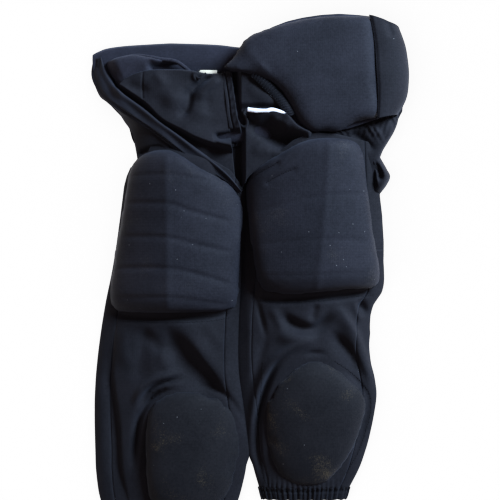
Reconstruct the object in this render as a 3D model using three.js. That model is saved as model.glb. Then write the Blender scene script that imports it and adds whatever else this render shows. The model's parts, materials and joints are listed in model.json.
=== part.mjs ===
// Padded hockey pants that end below the knee, lying on their back with the front up and the waist thrown
// open. The shell is stretch cloth in panels; foam pads sit in cloth pockets over the hips, tailbone,
// thighs and knees.
//
// Units are millimetres. +X is the wearer's left, +Y points to the waist and +Z out of the front. The
// origin is the middle of the footprint, on the surface that the pants lie on.

import * as THREE from "three";

// ---------------------------------------------------------------- driving dimensions
const CLOTH = 1.6; // shell cloth with its lining
const BACK_CLOTH = 1.8; // heavier cloth under the seat and the backs of the legs
const BAND = 2.6; // folded elastic waistband
const GAP = 1.5; // room between one layer and the next
const PANEL_GAP = 0.6; // room between two panels that lie side by side
const SPLIT_GAP = 1; // room between two bodies that fold against each other
const SEAM_TOP = 4; // height of a leg's side seams
const LIMB_FOAM = 14; // thigh and knee pads
const HIP_FOAM = 14;
const RIGHT_HIP_FOAM = 9; // the hip pad that is folded into the waist, pressed flat
const TAIL_FOAM = 9;
const EDGE_POWER = 8; // how squarely a pad's top falls away at its rim
const CUFF = 12; // width of the elastic hem
const CUFF_WALL = 1.8;
const SIDE_SHARE = 0.12; // share of a leg's width that its side panel and its inseam panel each take
const FRONT_LEVEL = 20; // underside of the loose front of the waist
const WING_LEVEL = 24; // underside of the left hip pad that is folded over the front

// How far a leg's front arches above its side seams, from the hem up to the hip.
const archRise = through([[-341, 10], [-200, 16], [-60, 22], [60, 24], [190, 24]]);

// Each leg's outline: x of its two edges against y, and the line across its top against the share of the
// width. West is the side at the smaller x.
const RIGHT_LEG = {
  name: "right",
  west: through([[-341, -184], [-290, -201], [-228, -205], [-150, -205], [-50, -193], [9, -181], [88, -170],
    [128, -164], [166, -154]]),
  east: through([[-341, -29], [-288, -11], [-240, -3], [-190, -9], [-140, -16.5], [-63, -16.5], [16, -11],
    [95, -7], [166, -12]]),
  top: through([[0, 166], [0.3, 165], [0.62, 146], [0.9, 121], [1, 95]]),
  knee: -106,
  hem: -341,
  sideIsWest: true,
  thighPad: {
    low: [[-182, -41], [-158, -62], [-92, -65], [-31, -61], [-16, -42]],
    high: [[-159, 137], [-145, 156], [-108, 161], [-60, 140], [-12, 95]],
  },
  kneePad: { x: -77, y: -237, halfWidth: 68, halfHeight: 84, lean: 0 },
};
const LEFT_LEG = {
  name: "left",
  west: through([[-300, 17], [-268, 6], [-240, 1], [-190, -5], [-140, -13], [-63, -13], [16, -8], [95, -4],
    [184, -2]]),
  east: through([[-300, 122], [-255, 144], [-209, 157], [-155, 165], [-90, 156], [-55, 159], [-30, 172],
    [9, 176], [49, 174], [108, 172], [184, 172]]),
  top: through([[0, 100], [0.06, 126], [0.2, 151], [0.385, 175], [0.58, 180], [0.78, 174], [1, 166]]),
  knee: -79,
  hem: -300,
  sideIsWest: false,
  thighPad: {
    low: [[13, -26], [32, -40], [76, -42], [125, -37], [161, -35], [171, -24]],
    high: [[0, 93], [6, 121], [36, 149], [72, 173], [118, 177], [147, 150]],
  },
  kneePad: { x: 84.5, y: -203, halfWidth: 69, halfHeight: 82, lean: 0.118 },
};

// ---------------------------------------------------------------- colours and the list of pieces
const SHELL = new THREE.MeshStandardMaterial({ color: 0x1d1e24, roughness: 0.85, metalness: 0 });
const POCKET = new THREE.MeshStandardMaterial({ color: 0x2a2c35, roughness: 0.75, metalness: 0 });
const LINING = new THREE.MeshStandardMaterial({ color: 0x17171b, roughness: 0.9, metalness: 0 });
const ELASTIC = new THREE.MeshStandardMaterial({ color: 0x121216, roughness: 0.8, metalness: 0 });
const FOAM = new THREE.MeshStandardMaterial({ color: 0xd9d6cc, roughness: 0.95, metalness: 0 });
const LABEL = new THREE.MeshStandardMaterial({ color: 0xe6ddc4, roughness: 0.7, metalness: 0 });
const TAPE = new THREE.MeshStandardMaterial({ color: 0xeef0f4, roughness: 0.6, metalness: 0 });

const pants = new THREE.Group();

function add(name, geometry, material) {
  const mesh = new THREE.Mesh(geometry, material);
  mesh.name = name;
  pants.add(mesh);
}

// ---------------------------------------------------------------- outlines
// A smooth function through [position, value] pairs.
function through(pairs) {
  const positions = pairs.map((pair) => pair[0]);
  const values = pairs.map((pair) => pair[1]);
  const curve = new THREE.CubicInterpolant(positions, values, 1);
  return (position) => curve.evaluate(position)[0];
}

const mix = THREE.MathUtils.lerp;
const curve = (points) => new THREE.SplineCurve(points.map(([x, y]) => new THREE.Vector2(x, y)));

// The patches below map u (along +X) and v (along +Y), each from 0 to 1, to a place on the ground.

// Between a lower and an upper curve.
function between(low, high) {
  const lowCurve = curve(low);
  const highCurve = curve(high);
  return (u, v) => lowCurve.getPoint(u).lerp(highCurve.getPoint(u), v).toArray();
}

// Between a curve on the west side and one on the east side, both from low y to high y.
function beside(west, east) {
  const westCurve = curve(west);
  const eastCurve = curve(east);
  return (u, v) => westCurve.getPoint(v).lerp(eastCurve.getPoint(v), u).toArray();
}

// A stretch of a leg between two lines, each a function of the share of the leg's width.
function along(leg, low, high) {
  return (u, v) => {
    const y = mix(low(u), high(u), v);
    return [mix(leg.west(y), leg.east(y), u), y];
  };
}

// An oval that leans sideways by `lean` per unit of height. A square of u and v is drawn onto its disc.
function disc(u, v) {
  const x = 2 * u - 1;
  const y = 2 * v - 1;
  return [x * Math.sqrt(1 - (y * y) / 2), y * Math.sqrt(1 - (x * x) / 2)];
}

function oval({ x, y, halfWidth, halfHeight, lean }) {
  return (u, v) => {
    const [across, up] = disc(u, v);
    return [x + across * halfWidth + up * halfHeight * lean, y + up * halfHeight];
  };
}

// ---------------------------------------------------------------- solids
const even = (low, high, cells) => Array.from({ length: cells + 1 }, (_, i) => mix(low, high, i / cells));
const PAD_STOPS = [0, 0.05, ...even(0.15, 0.85, 5), 0.95, 1]; // finer towards a pad's rim

// A closed sheet over a patch: bottom and top give the heights of its two faces.
function slab(place, bottom, top, us, vs) {
  const positions = [];
  const indices = [];
  for (const height of [bottom, top]) {
    for (const v of vs) {
      for (const u of us) {
        const [x, y] = place(u, v);
        positions.push(x, y, height(x, y, u, v));
      }
    }
  }
  const lastU = us.length - 1;
  const lastV = vs.length - 1;
  const at = (i, j, face) => (face * vs.length + j) * us.length + i;
  const quad = (a, b, c, d) => indices.push(a, b, c, a, c, d);
  for (let j = 0; j < lastV; j += 1) {
    for (let i = 0; i < lastU; i += 1) {
      quad(at(i, j, 1), at(i + 1, j, 1), at(i + 1, j + 1, 1), at(i, j + 1, 1));
      quad(at(i, j, 0), at(i, j + 1, 0), at(i + 1, j + 1, 0), at(i + 1, j, 0));
    }
  }
  for (let i = 0; i < lastU; i += 1) {
    quad(at(i, 0, 0), at(i + 1, 0, 0), at(i + 1, 0, 1), at(i, 0, 1));
    quad(at(i + 1, lastV, 0), at(i, lastV, 0), at(i, lastV, 1), at(i + 1, lastV, 1));
  }
  for (let j = 0; j < lastV; j += 1) {
    quad(at(0, j + 1, 0), at(0, j, 0), at(0, j, 1), at(0, j + 1, 1));
    quad(at(lastU, j, 0), at(lastU, j + 1, 0), at(lastU, j + 1, 1), at(lastU, j, 1));
  }
  const geometry = new THREE.BufferGeometry();
  geometry.setAttribute("position", new THREE.Float32BufferAttribute(positions, 3));
  geometry.setIndex(indices);
  geometry.computeVertexNormals();
  return geometry;
}

// A sheet that lies level between two heights.
const flat = (place, low, high, acrossCells = 6, upCells = 4) =>
  slab(place, () => low, () => high, even(0, 1, acrossCells), even(0, 1, upCells));

// A sheet of shell cloth whose upper face is at `top`.
const draped = (place, top, us, vs) => slab(place, (...at) => top(...at) - CLOTH, top, us, vs);

// A foam pad on a base surface, and the cloth pocket over it. `fade` is 1 in the pad's middle and 0 at
// its rim, and the foam stops one cell inside the pocket's edge.
function addPad(name, place, base, foam, fade) {
  const inner = PAD_STOPS.slice(1, -1);
  const pocketUnder = (x, y, u, v) => base(x, y) + 2 * GAP + foam * fade(u, v);
  const foamTop = (...at) => pocketUnder(...at) - GAP;
  add(name, slab(place, (x, y) => base(x, y) + GAP, foamTop, inner, inner), FOAM);
  add(`${name}_cover`, draped(place, (...at) => pocketUnder(...at) + CLOTH, PAD_STOPS, PAD_STOPS),
    POCKET);
}

const squareFade = (u, v) =>
  (1 - Math.abs(2 * u - 1) ** EDGE_POWER) * (1 - Math.abs(2 * v - 1) ** EDGE_POWER);

const roundFade = (u, v) => 1 - Math.hypot(...disc(u, v)) ** EDGE_POWER;

// The height of a leg's front: seams at its two edges and an arch between them.
function legFront(leg) {
  return (x, y) => {
    const share = (x - leg.west(y)) / (leg.east(y) - leg.west(y));
    const fromMiddle = THREE.MathUtils.clamp(2 * share - 1, -1, 1);
    return SEAM_TOP + archRise(y) * (1 - fromMiddle ** 2);
  };
}

// ---------------------------------------------------------------- legs
// The four cloth panels of one stretch of a leg: its back, front, side and inseam.
function addLegPanels(leg, part, low, high, lengthCells) {
  const place = along(leg, low, high);
  const front = legFront(leg);
  const vs = even(0, 1, lengthCells);
  const sliver = PANEL_GAP / (leg.east(leg.knee) - leg.west(leg.knee));
  const westShare = even(0, SIDE_SHARE - sliver, 2);
  const eastShare = even(1 - SIDE_SHARE + sliver, 1, 2);
  const [sideShare, inseamShare] = leg.sideIsWest ? [westShare, eastShare] : [eastShare, westShare];
  const prefix = `${leg.name}_${part}`;
  add(`${prefix}_back_panel`, slab(place, () => 0, () => BACK_CLOTH, even(0, 1, 6), vs), SHELL);
  add(`${prefix}_front_panel`, draped(place, front, even(SIDE_SHARE, 1 - SIDE_SHARE, 8), vs), SHELL);
  add(`${prefix}_side_panel`, draped(place, front, sideShare, vs), SHELL);
  add(`${prefix}_inseam_panel`, draped(place, front, inseamShare, vs), SHELL);
}

// The elastic hem: a flattened tube across the leg's lower end.
function addCuff(leg) {
  const middle = (leg.west(leg.hem) + leg.east(leg.hem)) / 2;
  const halfWidth = (leg.east(leg.hem) - leg.west(leg.hem)) / 2;
  const front = legFront(leg);
  const outline = (inset) => {
    const over = even(1, -1, 12).map((share) => {
      const x = middle + share * (halfWidth - inset);
      return new THREE.Vector2(x, front(x, leg.hem) - inset);
    });
    const ends = [-1, 1].map((side) => new THREE.Vector2(middle + side * (halfWidth - inset), inset));
    return [...ends, ...over];
  };
  const ring = new THREE.Shape(outline(0));
  ring.holes.push(new THREE.Path(outline(CUFF_WALL)));
  const geometry = new THREE.ExtrudeGeometry(ring, { depth: CUFF, bevelEnabled: false });
  geometry.rotateX(Math.PI / 2);
  geometry.translate(0, leg.hem + CUFF, 0);
  add(`${leg.name}_hem_cuff`, geometry, ELASTIC);
}

for (const leg of [RIGHT_LEG, LEFT_LEG]) {
  const front = legFront(leg);
  const aboveKnee = () => leg.knee + SPLIT_GAP / 2;
  const belowKnee = () => leg.knee - SPLIT_GAP / 2;
  const aboveCuff = () => leg.hem + CUFF + PANEL_GAP;
  addLegPanels(leg, "thigh", aboveKnee, leg.top, 8);
  addPad(`${leg.name}_thigh_pad`, between(leg.thighPad.low, leg.thighPad.high), front, LIMB_FOAM, squareFade);
  addLegPanels(leg, "shin", aboveCuff, belowKnee, 7);
  addPad(`${leg.name}_knee_pad`, oval(leg.kneePad), front, LIMB_FOAM, roundFade);
  addCuff(leg);
}

// ---------------------------------------------------------------- seat, on the ground
const CENTRE_SEAM = -26;
const SEAT_WEST = CENTRE_SEAM - PANEL_GAP / 2;
const SEAT_EAST = CENTRE_SEAM + PANEL_GAP / 2;

add("right_seat_panel", flat(between(
  [[-155, 168.5], [-112, 168], [-66, 150], [SEAT_WEST, 127]],
  [[-204, 251], [-132, 263], [-73, 266], [SEAT_WEST, 266]],
), 0, BACK_CLOTH), SHELL);

add("left_seat_panel", flat(between(
  [[SEAT_EAST, 153], [4, 153], [36, 158], [68, 180], [102, 183], [138, 177], [176, 169]],
  [[SEAT_EAST, 266], [4, 266], [36, 266], [68, 266], [102, 266], [138, 265], [188, 260]],
), 0, BACK_CLOTH, 12), SHELL);

add("back_waistband", flat(between(
  [[-206, 254], [-132, 265.5], [-73, 268.5], [4, 268.5], [102, 268.5], [194, 262.5]],
  [[-210, 284], [-132, 301], [-73, 300], [4, 297], [102, 297], [197, 290]],
), 0, BAND, 10), ELASTIC);

add("crotch_gusset", flat(between(
  [[-7.8, 100], [-5.4, 100]],
  [[-23, 151], [2, 151]],
), 0, BACK_CLOTH, 2), LINING);

add("care_label", flat(between(
  [[-70, 250], [-44, 250]],
  [[-70, 270], [-44, 270]],
), BAND + GAP, BAND + GAP + 0.8, 2, 2), LABEL);

addPad("tail_pad", between([[-84, 172], [-26, 168], [34, 172]], [[-78, 236], [-26, 242], [28, 236]]),
  () => BACK_CLOTH, TAIL_FOAM, squareFade);

addPad("right_hip_pad", between([[-138, 200], [-116, 192], [-92, 188]], [[-184, 262], [-138, 272], [-90, 268]]),
  () => BAND, RIGHT_HIP_FOAM, squareFade);

// ---------------------------------------------------------------- front of the waist
const FRONT_TOP = FRONT_LEVEL + CLOTH;

add("front_rise_panel", flat(between(
  [[-166, 243], [-118, 206], [-72, 174], [-25, 146]],
  [[-160, 249], [-120, 251], [-78, 251], [-39, 251]],
), FRONT_LEVEL, FRONT_TOP), SHELL);

add("right_front_waistband", flat(between(
  [[-163, 251], [-120, 252.5], [-78, 252.5], [-39, 252.5]],
  [[-161, 255], [-120, 266], [-78, 266], [-38, 264]],
), FRONT_LEVEL, FRONT_LEVEL + BAND), ELASTIC);

add("fly_placket", flat(beside(
  [[-22, 146], [-29, 196], [-36, 263]],
  [[-8, 134], [-12, 196], [-27, 263]],
), FRONT_LEVEL, FRONT_LEVEL + BAND, 3, 8), SHELL);

// The right hip's side turns from the surface it lies on up to the band across the groin.
const turnUp = (x, y, u) => SEAM_TOP + CLOTH + (FRONT_LEVEL - SEAM_TOP) * Math.sin((Math.PI / 2) * u);
add("right_hip_side_panel", draped(beside(
  [[-154.5, 168.5], [-163, 196], [-183, 222], [-203, 243], [-208, 268]],
  [[-113, 168.5], [-147, 193], [-179, 219], [-190, 241], [-198, 268]],
), turnUp, even(0, 1, 6), even(0, 1, 8)), SHELL);

const BAND_LEVEL = FRONT_TOP + GAP;
add("right_groin_band", flat(between(
  [[-177, 221], [-145, 195], [-108, 171.5], [-77, 156], [-46, 139], [-16, 120]],
  [[-194, 277], [-176, 243], [-132, 211], [-79, 174], [-45, 153], [-11, 128]],
), BAND_LEVEL, BAND_LEVEL + BAND, 12, 2), ELASTIC);

// The left half of the front stands up towards its folded top edge.
const FOLD_RISE = 10;
const foldUp = (x, y, u, v) => FRONT_TOP + FOLD_RISE * v ** 2;
const FOLD_TOP = FRONT_TOP + FOLD_RISE;
add("left_front_panel", draped(between(
  [[3, 126], [33, 158], [60, 178], [78, 183]],
  [[-2, 210], [28, 212], [56, 196], [78, 185]],
), foldUp, even(0, 1, 8), even(0, 1, 6)), SHELL);

add("left_front_waistband", flat(between(
  [[-3, 213], [24, 215], [44, 210], [56, 200]],
  [[-3, 219], [24, 221], [45, 214], [56, 202]],
), FOLD_TOP - BAND, FOLD_TOP, 6, 2), ELASTIC);

add("waistband_tab", flat(between(
  [[-1, 203], [24, 205], [44, 200]],
  [[-1, 208], [24, 210], [44, 205]],
), FOLD_TOP + GAP, FOLD_TOP + GAP + 0.8, 4, 1), TAPE);

// Gathered cloth between the left leg's top and the folded-over hip pad.
const gatherTop = (x, y, u, v) => SEAM_TOP + CLOTH + 12 * v * (1 - 0.6 * u);
add("left_side_gather", draped(between(
  [[123, 182], [150, 173], [174, 169.5], [188, 172]],
  [[128, 186], [148, 194], [174, 201], [192, 201]],
), gatherTop, even(0, 1, 6), even(0, 1, 4)), SHELL);

// ---------------------------------------------------------------- left hip, folded over the front
const hipPadPlace = between(
  [[67, 192], [92, 188], [122, 188.5], [148, 196], [174, 205]],
  [[-18, 293], [28, 323], [70, 336], [118, 341], [163, 337]],
);
const WING_BASE = WING_LEVEL + CLOTH;
add("left_hip_pad_backing", flat(hipPadPlace, WING_LEVEL, WING_BASE, 8, 6), LINING);
addPad("left_hip_pad", hipPadPlace, () => WING_BASE, HIP_FOAM, squareFade);

const WING_FALL = 18; // how far the side panel drops from the pad to the silhouette
const turnDown = (x, y, u) => WING_BASE + GAP - WING_FALL * u ** 2;
add("left_hip_side_panel", draped(beside(
  [[176, 206], [172.6, 240], [168.6, 290], [165, 336]],
  [[195, 206], [208, 234], [209.1, 280], [199, 330]],
), turnDown, even(0, 1, 6), even(0, 1, 8)), SHELL);

export default pants;
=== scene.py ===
"""Looks of a pair of padded hockey pants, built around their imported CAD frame.

The pants lie on their back with the front up. Lengths in the tables and in the helper functions are
millimetres; a mesh is turned to metres when it is made.
"""

import json
import math

import bmesh
import bpy
import numpy as np
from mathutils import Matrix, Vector

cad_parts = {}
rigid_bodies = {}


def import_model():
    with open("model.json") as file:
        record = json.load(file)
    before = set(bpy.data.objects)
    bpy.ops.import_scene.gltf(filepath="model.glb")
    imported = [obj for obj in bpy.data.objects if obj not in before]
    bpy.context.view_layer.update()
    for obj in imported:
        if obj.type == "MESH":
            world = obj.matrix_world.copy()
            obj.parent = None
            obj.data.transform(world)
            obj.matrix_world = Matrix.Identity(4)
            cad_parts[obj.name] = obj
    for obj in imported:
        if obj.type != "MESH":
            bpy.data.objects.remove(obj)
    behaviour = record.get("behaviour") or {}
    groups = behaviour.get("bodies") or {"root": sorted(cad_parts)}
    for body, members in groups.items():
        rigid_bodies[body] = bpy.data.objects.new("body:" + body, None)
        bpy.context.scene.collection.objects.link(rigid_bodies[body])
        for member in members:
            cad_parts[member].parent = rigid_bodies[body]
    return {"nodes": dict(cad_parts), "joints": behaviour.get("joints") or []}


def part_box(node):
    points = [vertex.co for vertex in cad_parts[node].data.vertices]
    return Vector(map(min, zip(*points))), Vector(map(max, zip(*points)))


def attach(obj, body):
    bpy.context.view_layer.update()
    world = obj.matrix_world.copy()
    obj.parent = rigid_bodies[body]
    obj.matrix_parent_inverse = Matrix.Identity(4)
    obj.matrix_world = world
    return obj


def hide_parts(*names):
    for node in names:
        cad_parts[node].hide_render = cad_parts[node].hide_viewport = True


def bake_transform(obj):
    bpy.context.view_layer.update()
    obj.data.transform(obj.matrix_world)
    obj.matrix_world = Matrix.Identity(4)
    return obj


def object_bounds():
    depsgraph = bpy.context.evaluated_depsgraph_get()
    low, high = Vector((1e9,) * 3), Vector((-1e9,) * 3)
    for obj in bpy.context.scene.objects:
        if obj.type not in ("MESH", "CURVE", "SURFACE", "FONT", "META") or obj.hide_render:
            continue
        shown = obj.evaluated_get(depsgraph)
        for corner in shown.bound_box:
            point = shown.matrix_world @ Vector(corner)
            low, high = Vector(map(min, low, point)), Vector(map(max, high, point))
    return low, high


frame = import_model()
CAD_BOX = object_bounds()

bl_info = {
    "name": "Padded hockey pants",
    "version": (1, 0, 0),
    "blender": (4, 5, 0),
    "location": "View3D > Sidebar > Hockey Pants",
    "description": "Cloth, pads, seams and stage for a pair of padded hockey pants",
    "category": "Object",
}

MM = 0.001
SIDES = ("right", "left")


# ---------------------------------------------------------------- settings
class PANTS_PG_cloth(bpy.types.PropertyGroup):
    thickness: bpy.props.FloatProperty(
        name="Cloth thickness", description="One layer of shell cloth, in millimetres",
        default=1.3, min=0.4, max=4.0
    )
    edge_radius: bpy.props.FloatProperty(
        name="Side roll", description="Radius of a leg's rolled side edges, in millimetres",
        default=5.0, min=1.0, max=12.0
    )


class PANTS_PG_pads(bpy.types.PropertyGroup):
    thigh_foam: bpy.props.FloatProperty(
        name="Thigh pad", description="Thickness of the thigh pads, in millimetres",
        default=15.0, min=4.0, max=25.0
    )
    knee_foam: bpy.props.FloatProperty(
        name="Knee pad", description="Thickness of the knee pads, in millimetres",
        default=11.0, min=4.0, max=25.0
    )
    hip_foam: bpy.props.FloatProperty(
        name="Hip pad", description="Thickness of the hip pad, in millimetres",
        default=14.0, min=4.0, max=25.0
    )
    swell: bpy.props.FloatProperty(
        name="Swell", description="How far the cloth may swell over its foam, in millimetres",
        default=2.5, min=0.0, max=8.0
    )


class PANTS_PG_stage(bpy.types.PropertyGroup):
    room_light: bpy.props.FloatProperty(
        name="Room light", description="Brightness of the room around the cloth",
        default=0.26, min=0.0, max=2.0
    )
    window_light: bpy.props.FloatProperty(
        name="Window light", description="Power of the low window light",
        subtype="POWER", default=125.0, min=0.0
    )
    camera_height: bpy.props.FloatProperty(
        name="Camera height", description="Height of the lens above the floor", default=1.58, unit="LENGTH"
    )


# ---------------------------------------------------------------- materials
def srgb(code):
    """Linear colour of an sRGB hex code."""
    channels = [int(code[i : i + 2], 16) / 255 for i in (0, 2, 4)]
    return tuple(c / 12.92 if c <= 0.04045 else ((c + 0.055) / 1.055) ** 2.4 for c in channels)


def node(tree, kind, links=(), **settings):
    """Adds a shader node. Settings are sockets or properties by name, and links are (output, input) pairs."""
    made = tree.nodes.new(kind)
    for key, value in settings.items():
        if hasattr(made, key):
            setattr(made, key, value)
        else:
            made.inputs[key.replace("_", " ")].default_value = value
    for output, name in links:
        tree.links.new(output, made.inputs[name])
    return made


LINT_CELL = 9.0  # one crumb of lint may lie in each cell of this size, in millimetres
LINT_DOT = 0.55  # radius of a crumb of lint, in millimetres
# The ribs of such knit really lie under a millimetre apart, too fine to show from where the whole
# garment is seen, so they are drawn coarser.
WALE = 2.6
PILL = 3.2  # size of the small uneven tufts of worn knit, in millimetres
RUBBED_RADIUS = 32.0  # how far a scuff spreads, in millimetres
WAVE_PERIOD = math.pi / 10  # a wave texture's period at scale 1, in metres


def new_material(name):
    made = bpy.data.materials.new(name)
    made.use_nodes = True
    tree = made.node_tree
    tree.nodes.clear()
    coords = tree.nodes.new("ShaderNodeTexCoord")
    return made, tree, coords.outputs["Object"]


def finish_material(tree, shader):
    output = tree.nodes.new("ShaderNodeOutputMaterial")
    tree.links.new(shader.outputs["BSDF"], output.inputs["Surface"])


def knit(name, dark, light, rough, sheen, wale_mm, mottle_mm=60.0, dust=0.0, dust_colour="B9AE98",
         rubbed=(), lint=0.06, bump=0.25):
    """A warp-knitted cloth: fine ribs one way, finer loops the other, and slow mottling from handling."""
    made, tree, place = new_material(name)
    mottle = node(tree, "ShaderNodeTexNoise", [(place, "Vector")], Scale=1000 / mottle_mm, Detail=4.0,
                  Roughness=0.6)
    pills = node(tree, "ShaderNodeTexNoise", [(place, "Vector")], Scale=1000 / PILL, Detail=3.0,
                 Roughness=0.75)
    spread = node(tree, "ShaderNodeMath", [(mottle.outputs["Fac"], 0), (pills.outputs["Fac"], 1)],
                  operation="ADD")
    shade = node(tree, "ShaderNodeMapRange", [(spread.outputs[0], "Value")])
    shade.inputs["From Min"].default_value = 0.75
    shade.inputs["From Max"].default_value = 1.25
    colour = node(tree, "ShaderNodeMix", [(shade.outputs["Result"], "Factor")], data_type="RGBA")
    colour.inputs[6].default_value = (*srgb(dark), 1)
    colour.inputs[7].default_value = (*srgb(light), 1)
    result = colour.outputs[2]
    if dust:
        grit = node(tree, "ShaderNodeTexNoise", [(place, "Vector")], Scale=1 / (1.5 * MM), Detail=5.0,
                    Roughness=0.7)
        patch = node(tree, "ShaderNodeTexNoise", [(place, "Vector")], Scale=1 / (50 * MM), Detail=2.0)
        both = node(tree, "ShaderNodeMath", [(grit.outputs["Fac"], 0), (patch.outputs["Fac"], 1)],
                    operation="MULTIPLY")
        for x, y in rubbed:
            away = node(tree, "ShaderNodeVectorMath", [(place, 0)], operation="DISTANCE")
            away.inputs[1].default_value = (x * MM, y * MM, 0.03)
            close = node(tree, "ShaderNodeMapRange", [(away.outputs["Value"], "Value")])
            close.inputs["From Max"].default_value = RUBBED_RADIUS * MM
            close.inputs["To Min"].default_value = 0.12
            close.inputs["To Max"].default_value = 0.0
            both = node(tree, "ShaderNodeMath", [(both.outputs[0], 0), (close.outputs["Result"], 1)],
                        operation="ADD")
        share = node(tree, "ShaderNodeMapRange", [(both.outputs[0], "Value")])
        share.inputs["From Min"].default_value = 0.34
        share.inputs["From Max"].default_value = 0.46
        share.inputs["To Max"].default_value = dust
        dusty = node(tree, "ShaderNodeMix", [(share.outputs["Result"], "Factor"), (result, 6)],
                     data_type="RGBA")
        dusty.inputs[7].default_value = (*srgb(dust_colour), 1)
        result = dusty.outputs[2]
    if lint:
        cells = node(tree, "ShaderNodeTexVoronoi", [(place, "Vector")], Scale=1 / (LINT_CELL * MM))
        dot = node(tree, "ShaderNodeMath", [(cells.outputs["Distance"], 0)], operation="LESS_THAN")
        dot.inputs[1].default_value = LINT_DOT / LINT_CELL
        rare = node(tree, "ShaderNodeMath", [(cells.outputs["Color"], 0)], operation="GREATER_THAN")
        rare.inputs[1].default_value = 1 - lint
        crumbs = node(tree, "ShaderNodeMath", [(dot.outputs[0], 0), (rare.outputs[0], 1)],
                      operation="MULTIPLY")
        faint = node(tree, "ShaderNodeMath", [(crumbs.outputs[0], 0)], operation="MULTIPLY")
        faint.inputs[1].default_value = 0.35
        linty = node(tree, "ShaderNodeMix", [(faint.outputs[0], "Factor"), (result, 6)], data_type="RGBA")
        linty.inputs[7].default_value = (*srgb("A9A9A6"), 1)
        result = linty.outputs[2]
    pitch = WAVE_PERIOD / (wale_mm * MM)
    ribs = node(tree, "ShaderNodeTexWave", [(place, "Vector")], bands_direction="X", Scale=pitch,
                Distortion=2.5, Detail=2.0)
    loops = node(tree, "ShaderNodeTexWave", [(place, "Vector")], bands_direction="Y", Scale=pitch * 0.7,
                 Distortion=2.5, Detail=2.0)
    weave = node(tree, "ShaderNodeMath", [(ribs.outputs["Fac"], 0), (loops.outputs["Fac"], 1)],
                 operation="ADD")
    fuzz = node(tree, "ShaderNodeTexNoise", [(place, "Vector")], Scale=1000 / 1.6, Detail=3.0)
    surface = node(tree, "ShaderNodeMath", [(weave.outputs[0], 0), (fuzz.outputs["Fac"], 2)],
                   operation="MULTIPLY_ADD")
    surface.inputs[1].default_value = 0.3
    dent = node(tree, "ShaderNodeBump", [(surface.outputs[0], "Height")], Strength=bump, Distance=0.0004)
    shader = node(tree, "ShaderNodeBsdfPrincipled",
                  [(result, "Base Color"), (dent.outputs["Normal"], "Normal")],
                  Roughness=rough, Sheen_Weight=sheen, Sheen_Roughness=0.6, IOR=1.45)
    shader.inputs["Sheen Tint"].default_value = (*srgb("C9D6F0"), 1)
    shader.inputs["Specular IOR Level"].default_value = 0.12
    finish_material(tree, shader)
    return made


def make_materials():
    """Every finish of the object, by the name of its slot in the record or of its use."""
    return {
        # Polyester and elastane warp knit, dyed black: matt face, cool where it turns to the light.
        "shell_knit": knit("black_stretch_knit", "0F0E10", "1B1A1D", 0.78, 0.05, WALE),
        # The same knit stretched tight over foam: smoother, a little lighter, with grey wear and dust.
        "pad_pocket_knit": knit("stretched_pocket_knit", "131317", "212126", 0.7, 0.04, WALE, dust=0.04,
                                lint=0.3),
        # The same knit over the hip foam: no dust, and a touch lighter in its lights.
        "hip_pocket_knit": knit("hip_pocket_knit", "131317", "222227", 0.7, 0.04, WALE),
        # Knee pockets are scuffed with dry earth.
        "knee_pocket_knit": knit("scuffed_knee_knit", "0C0B0C", "1A191A", 0.75, 0.05, WALE, dust=0.24,
                                 lint=0.2, rubbed=[(34, -228), (-128, -226)], dust_colour="8A7A58"),
        # Dull tricot on the inside of the waist.
        "lining": knit("brushed_tricot_lining", "1C1C21", "2B2B33", 0.85, 0.05, WALE),
        # Rubber-cored elastic, knitted over: coarse cross ribs.
        "elastic": knit("ribbed_elastic", "0A0A0C", "151519", 0.75, 0.03, WALE, bump=0.6),
        # The inner face of the waist elastic: fine ribs under a brushed nap.
        "elastic_lining": knit("brushed_elastic", "1A1A20", "26262E", 0.8, 0.1, 1.6, bump=0.3),
        # Fold-over elastic with a plain face.
        "elastic_smooth": knit("plain_faced_elastic", "141417", "1D1D22", 0.72, 0.06, 1.0, bump=0.3),
        # Satin-woven polyester label, cream.
        "label_satin": knit("satin_label", "D8CDB2", "F1E9D2", 0.45, 0.1, 0.5, lint=0, bump=0.1),
        # Woven cotton tape, bleached white.
        "tape_white": knit("bleached_tape", "E4E7EC", "F7F8FA", 0.6, 0.1, 0.8, lint=0, bump=0.3),
        # Spun polyester sewing thread: black and dull, so that a row of it reads as a fine dark line.
        "thread": knit("spun_thread", "08080A", "111114", 0.8, 0.0, WALE),
    }


# ---------------------------------------------------------------- plan shapes
def smooth_path(points, count=48):
    """A Catmull-Rom curve through the points, as an array of places."""
    p = np.array(points, float)
    p = np.vstack([2 * p[0] - p[1], p, 2 * p[-1] - p[-2]])
    t = np.linspace(0, len(p) - 3, count)
    i = np.minimum(t.astype(int), len(p) - 4)
    f = (t - i)[:, None]
    a, b, c, d = p[i], p[i + 1], p[i + 2], p[i + 3]
    return 0.5 * (2 * b + (c - a) * f + (2 * a - 5 * b + 4 * c - d) * f**2 + (3 * b - a - 3 * c + d) * f**3)


def at_shares(points, share):
    """Places on a curve through the points, at an array of shares from 0 to 1."""
    fine = smooth_path(points, 400)
    position = np.clip(share, 0, 1) * 399
    return np.stack([np.interp(position, np.arange(400), fine[:, k]) for k in range(fine.shape[1])], -1)


def between(low, high):
    """Maps u along +X and v along +Y to the plan between a low and a high curve."""
    def place(u, v):
        a, b = at_shares(low, u), at_shares(high, u)
        p = a + (b - a) * v[..., None]
        return p[..., 0], p[..., 1]
    return place


def beside(west, east):
    """Maps u and v to the plan between a west and an east curve, both drawn from low y to high y."""
    def place(u, v):
        a, b = at_shares(west, v), at_shares(east, v)
        p = a + (b - a) * u[..., None]
        return p[..., 0], p[..., 1]
    return place


def smoothstep(t):
    t = np.clip(t, 0, 1)
    return t * t * (3 - 2 * t)


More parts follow.
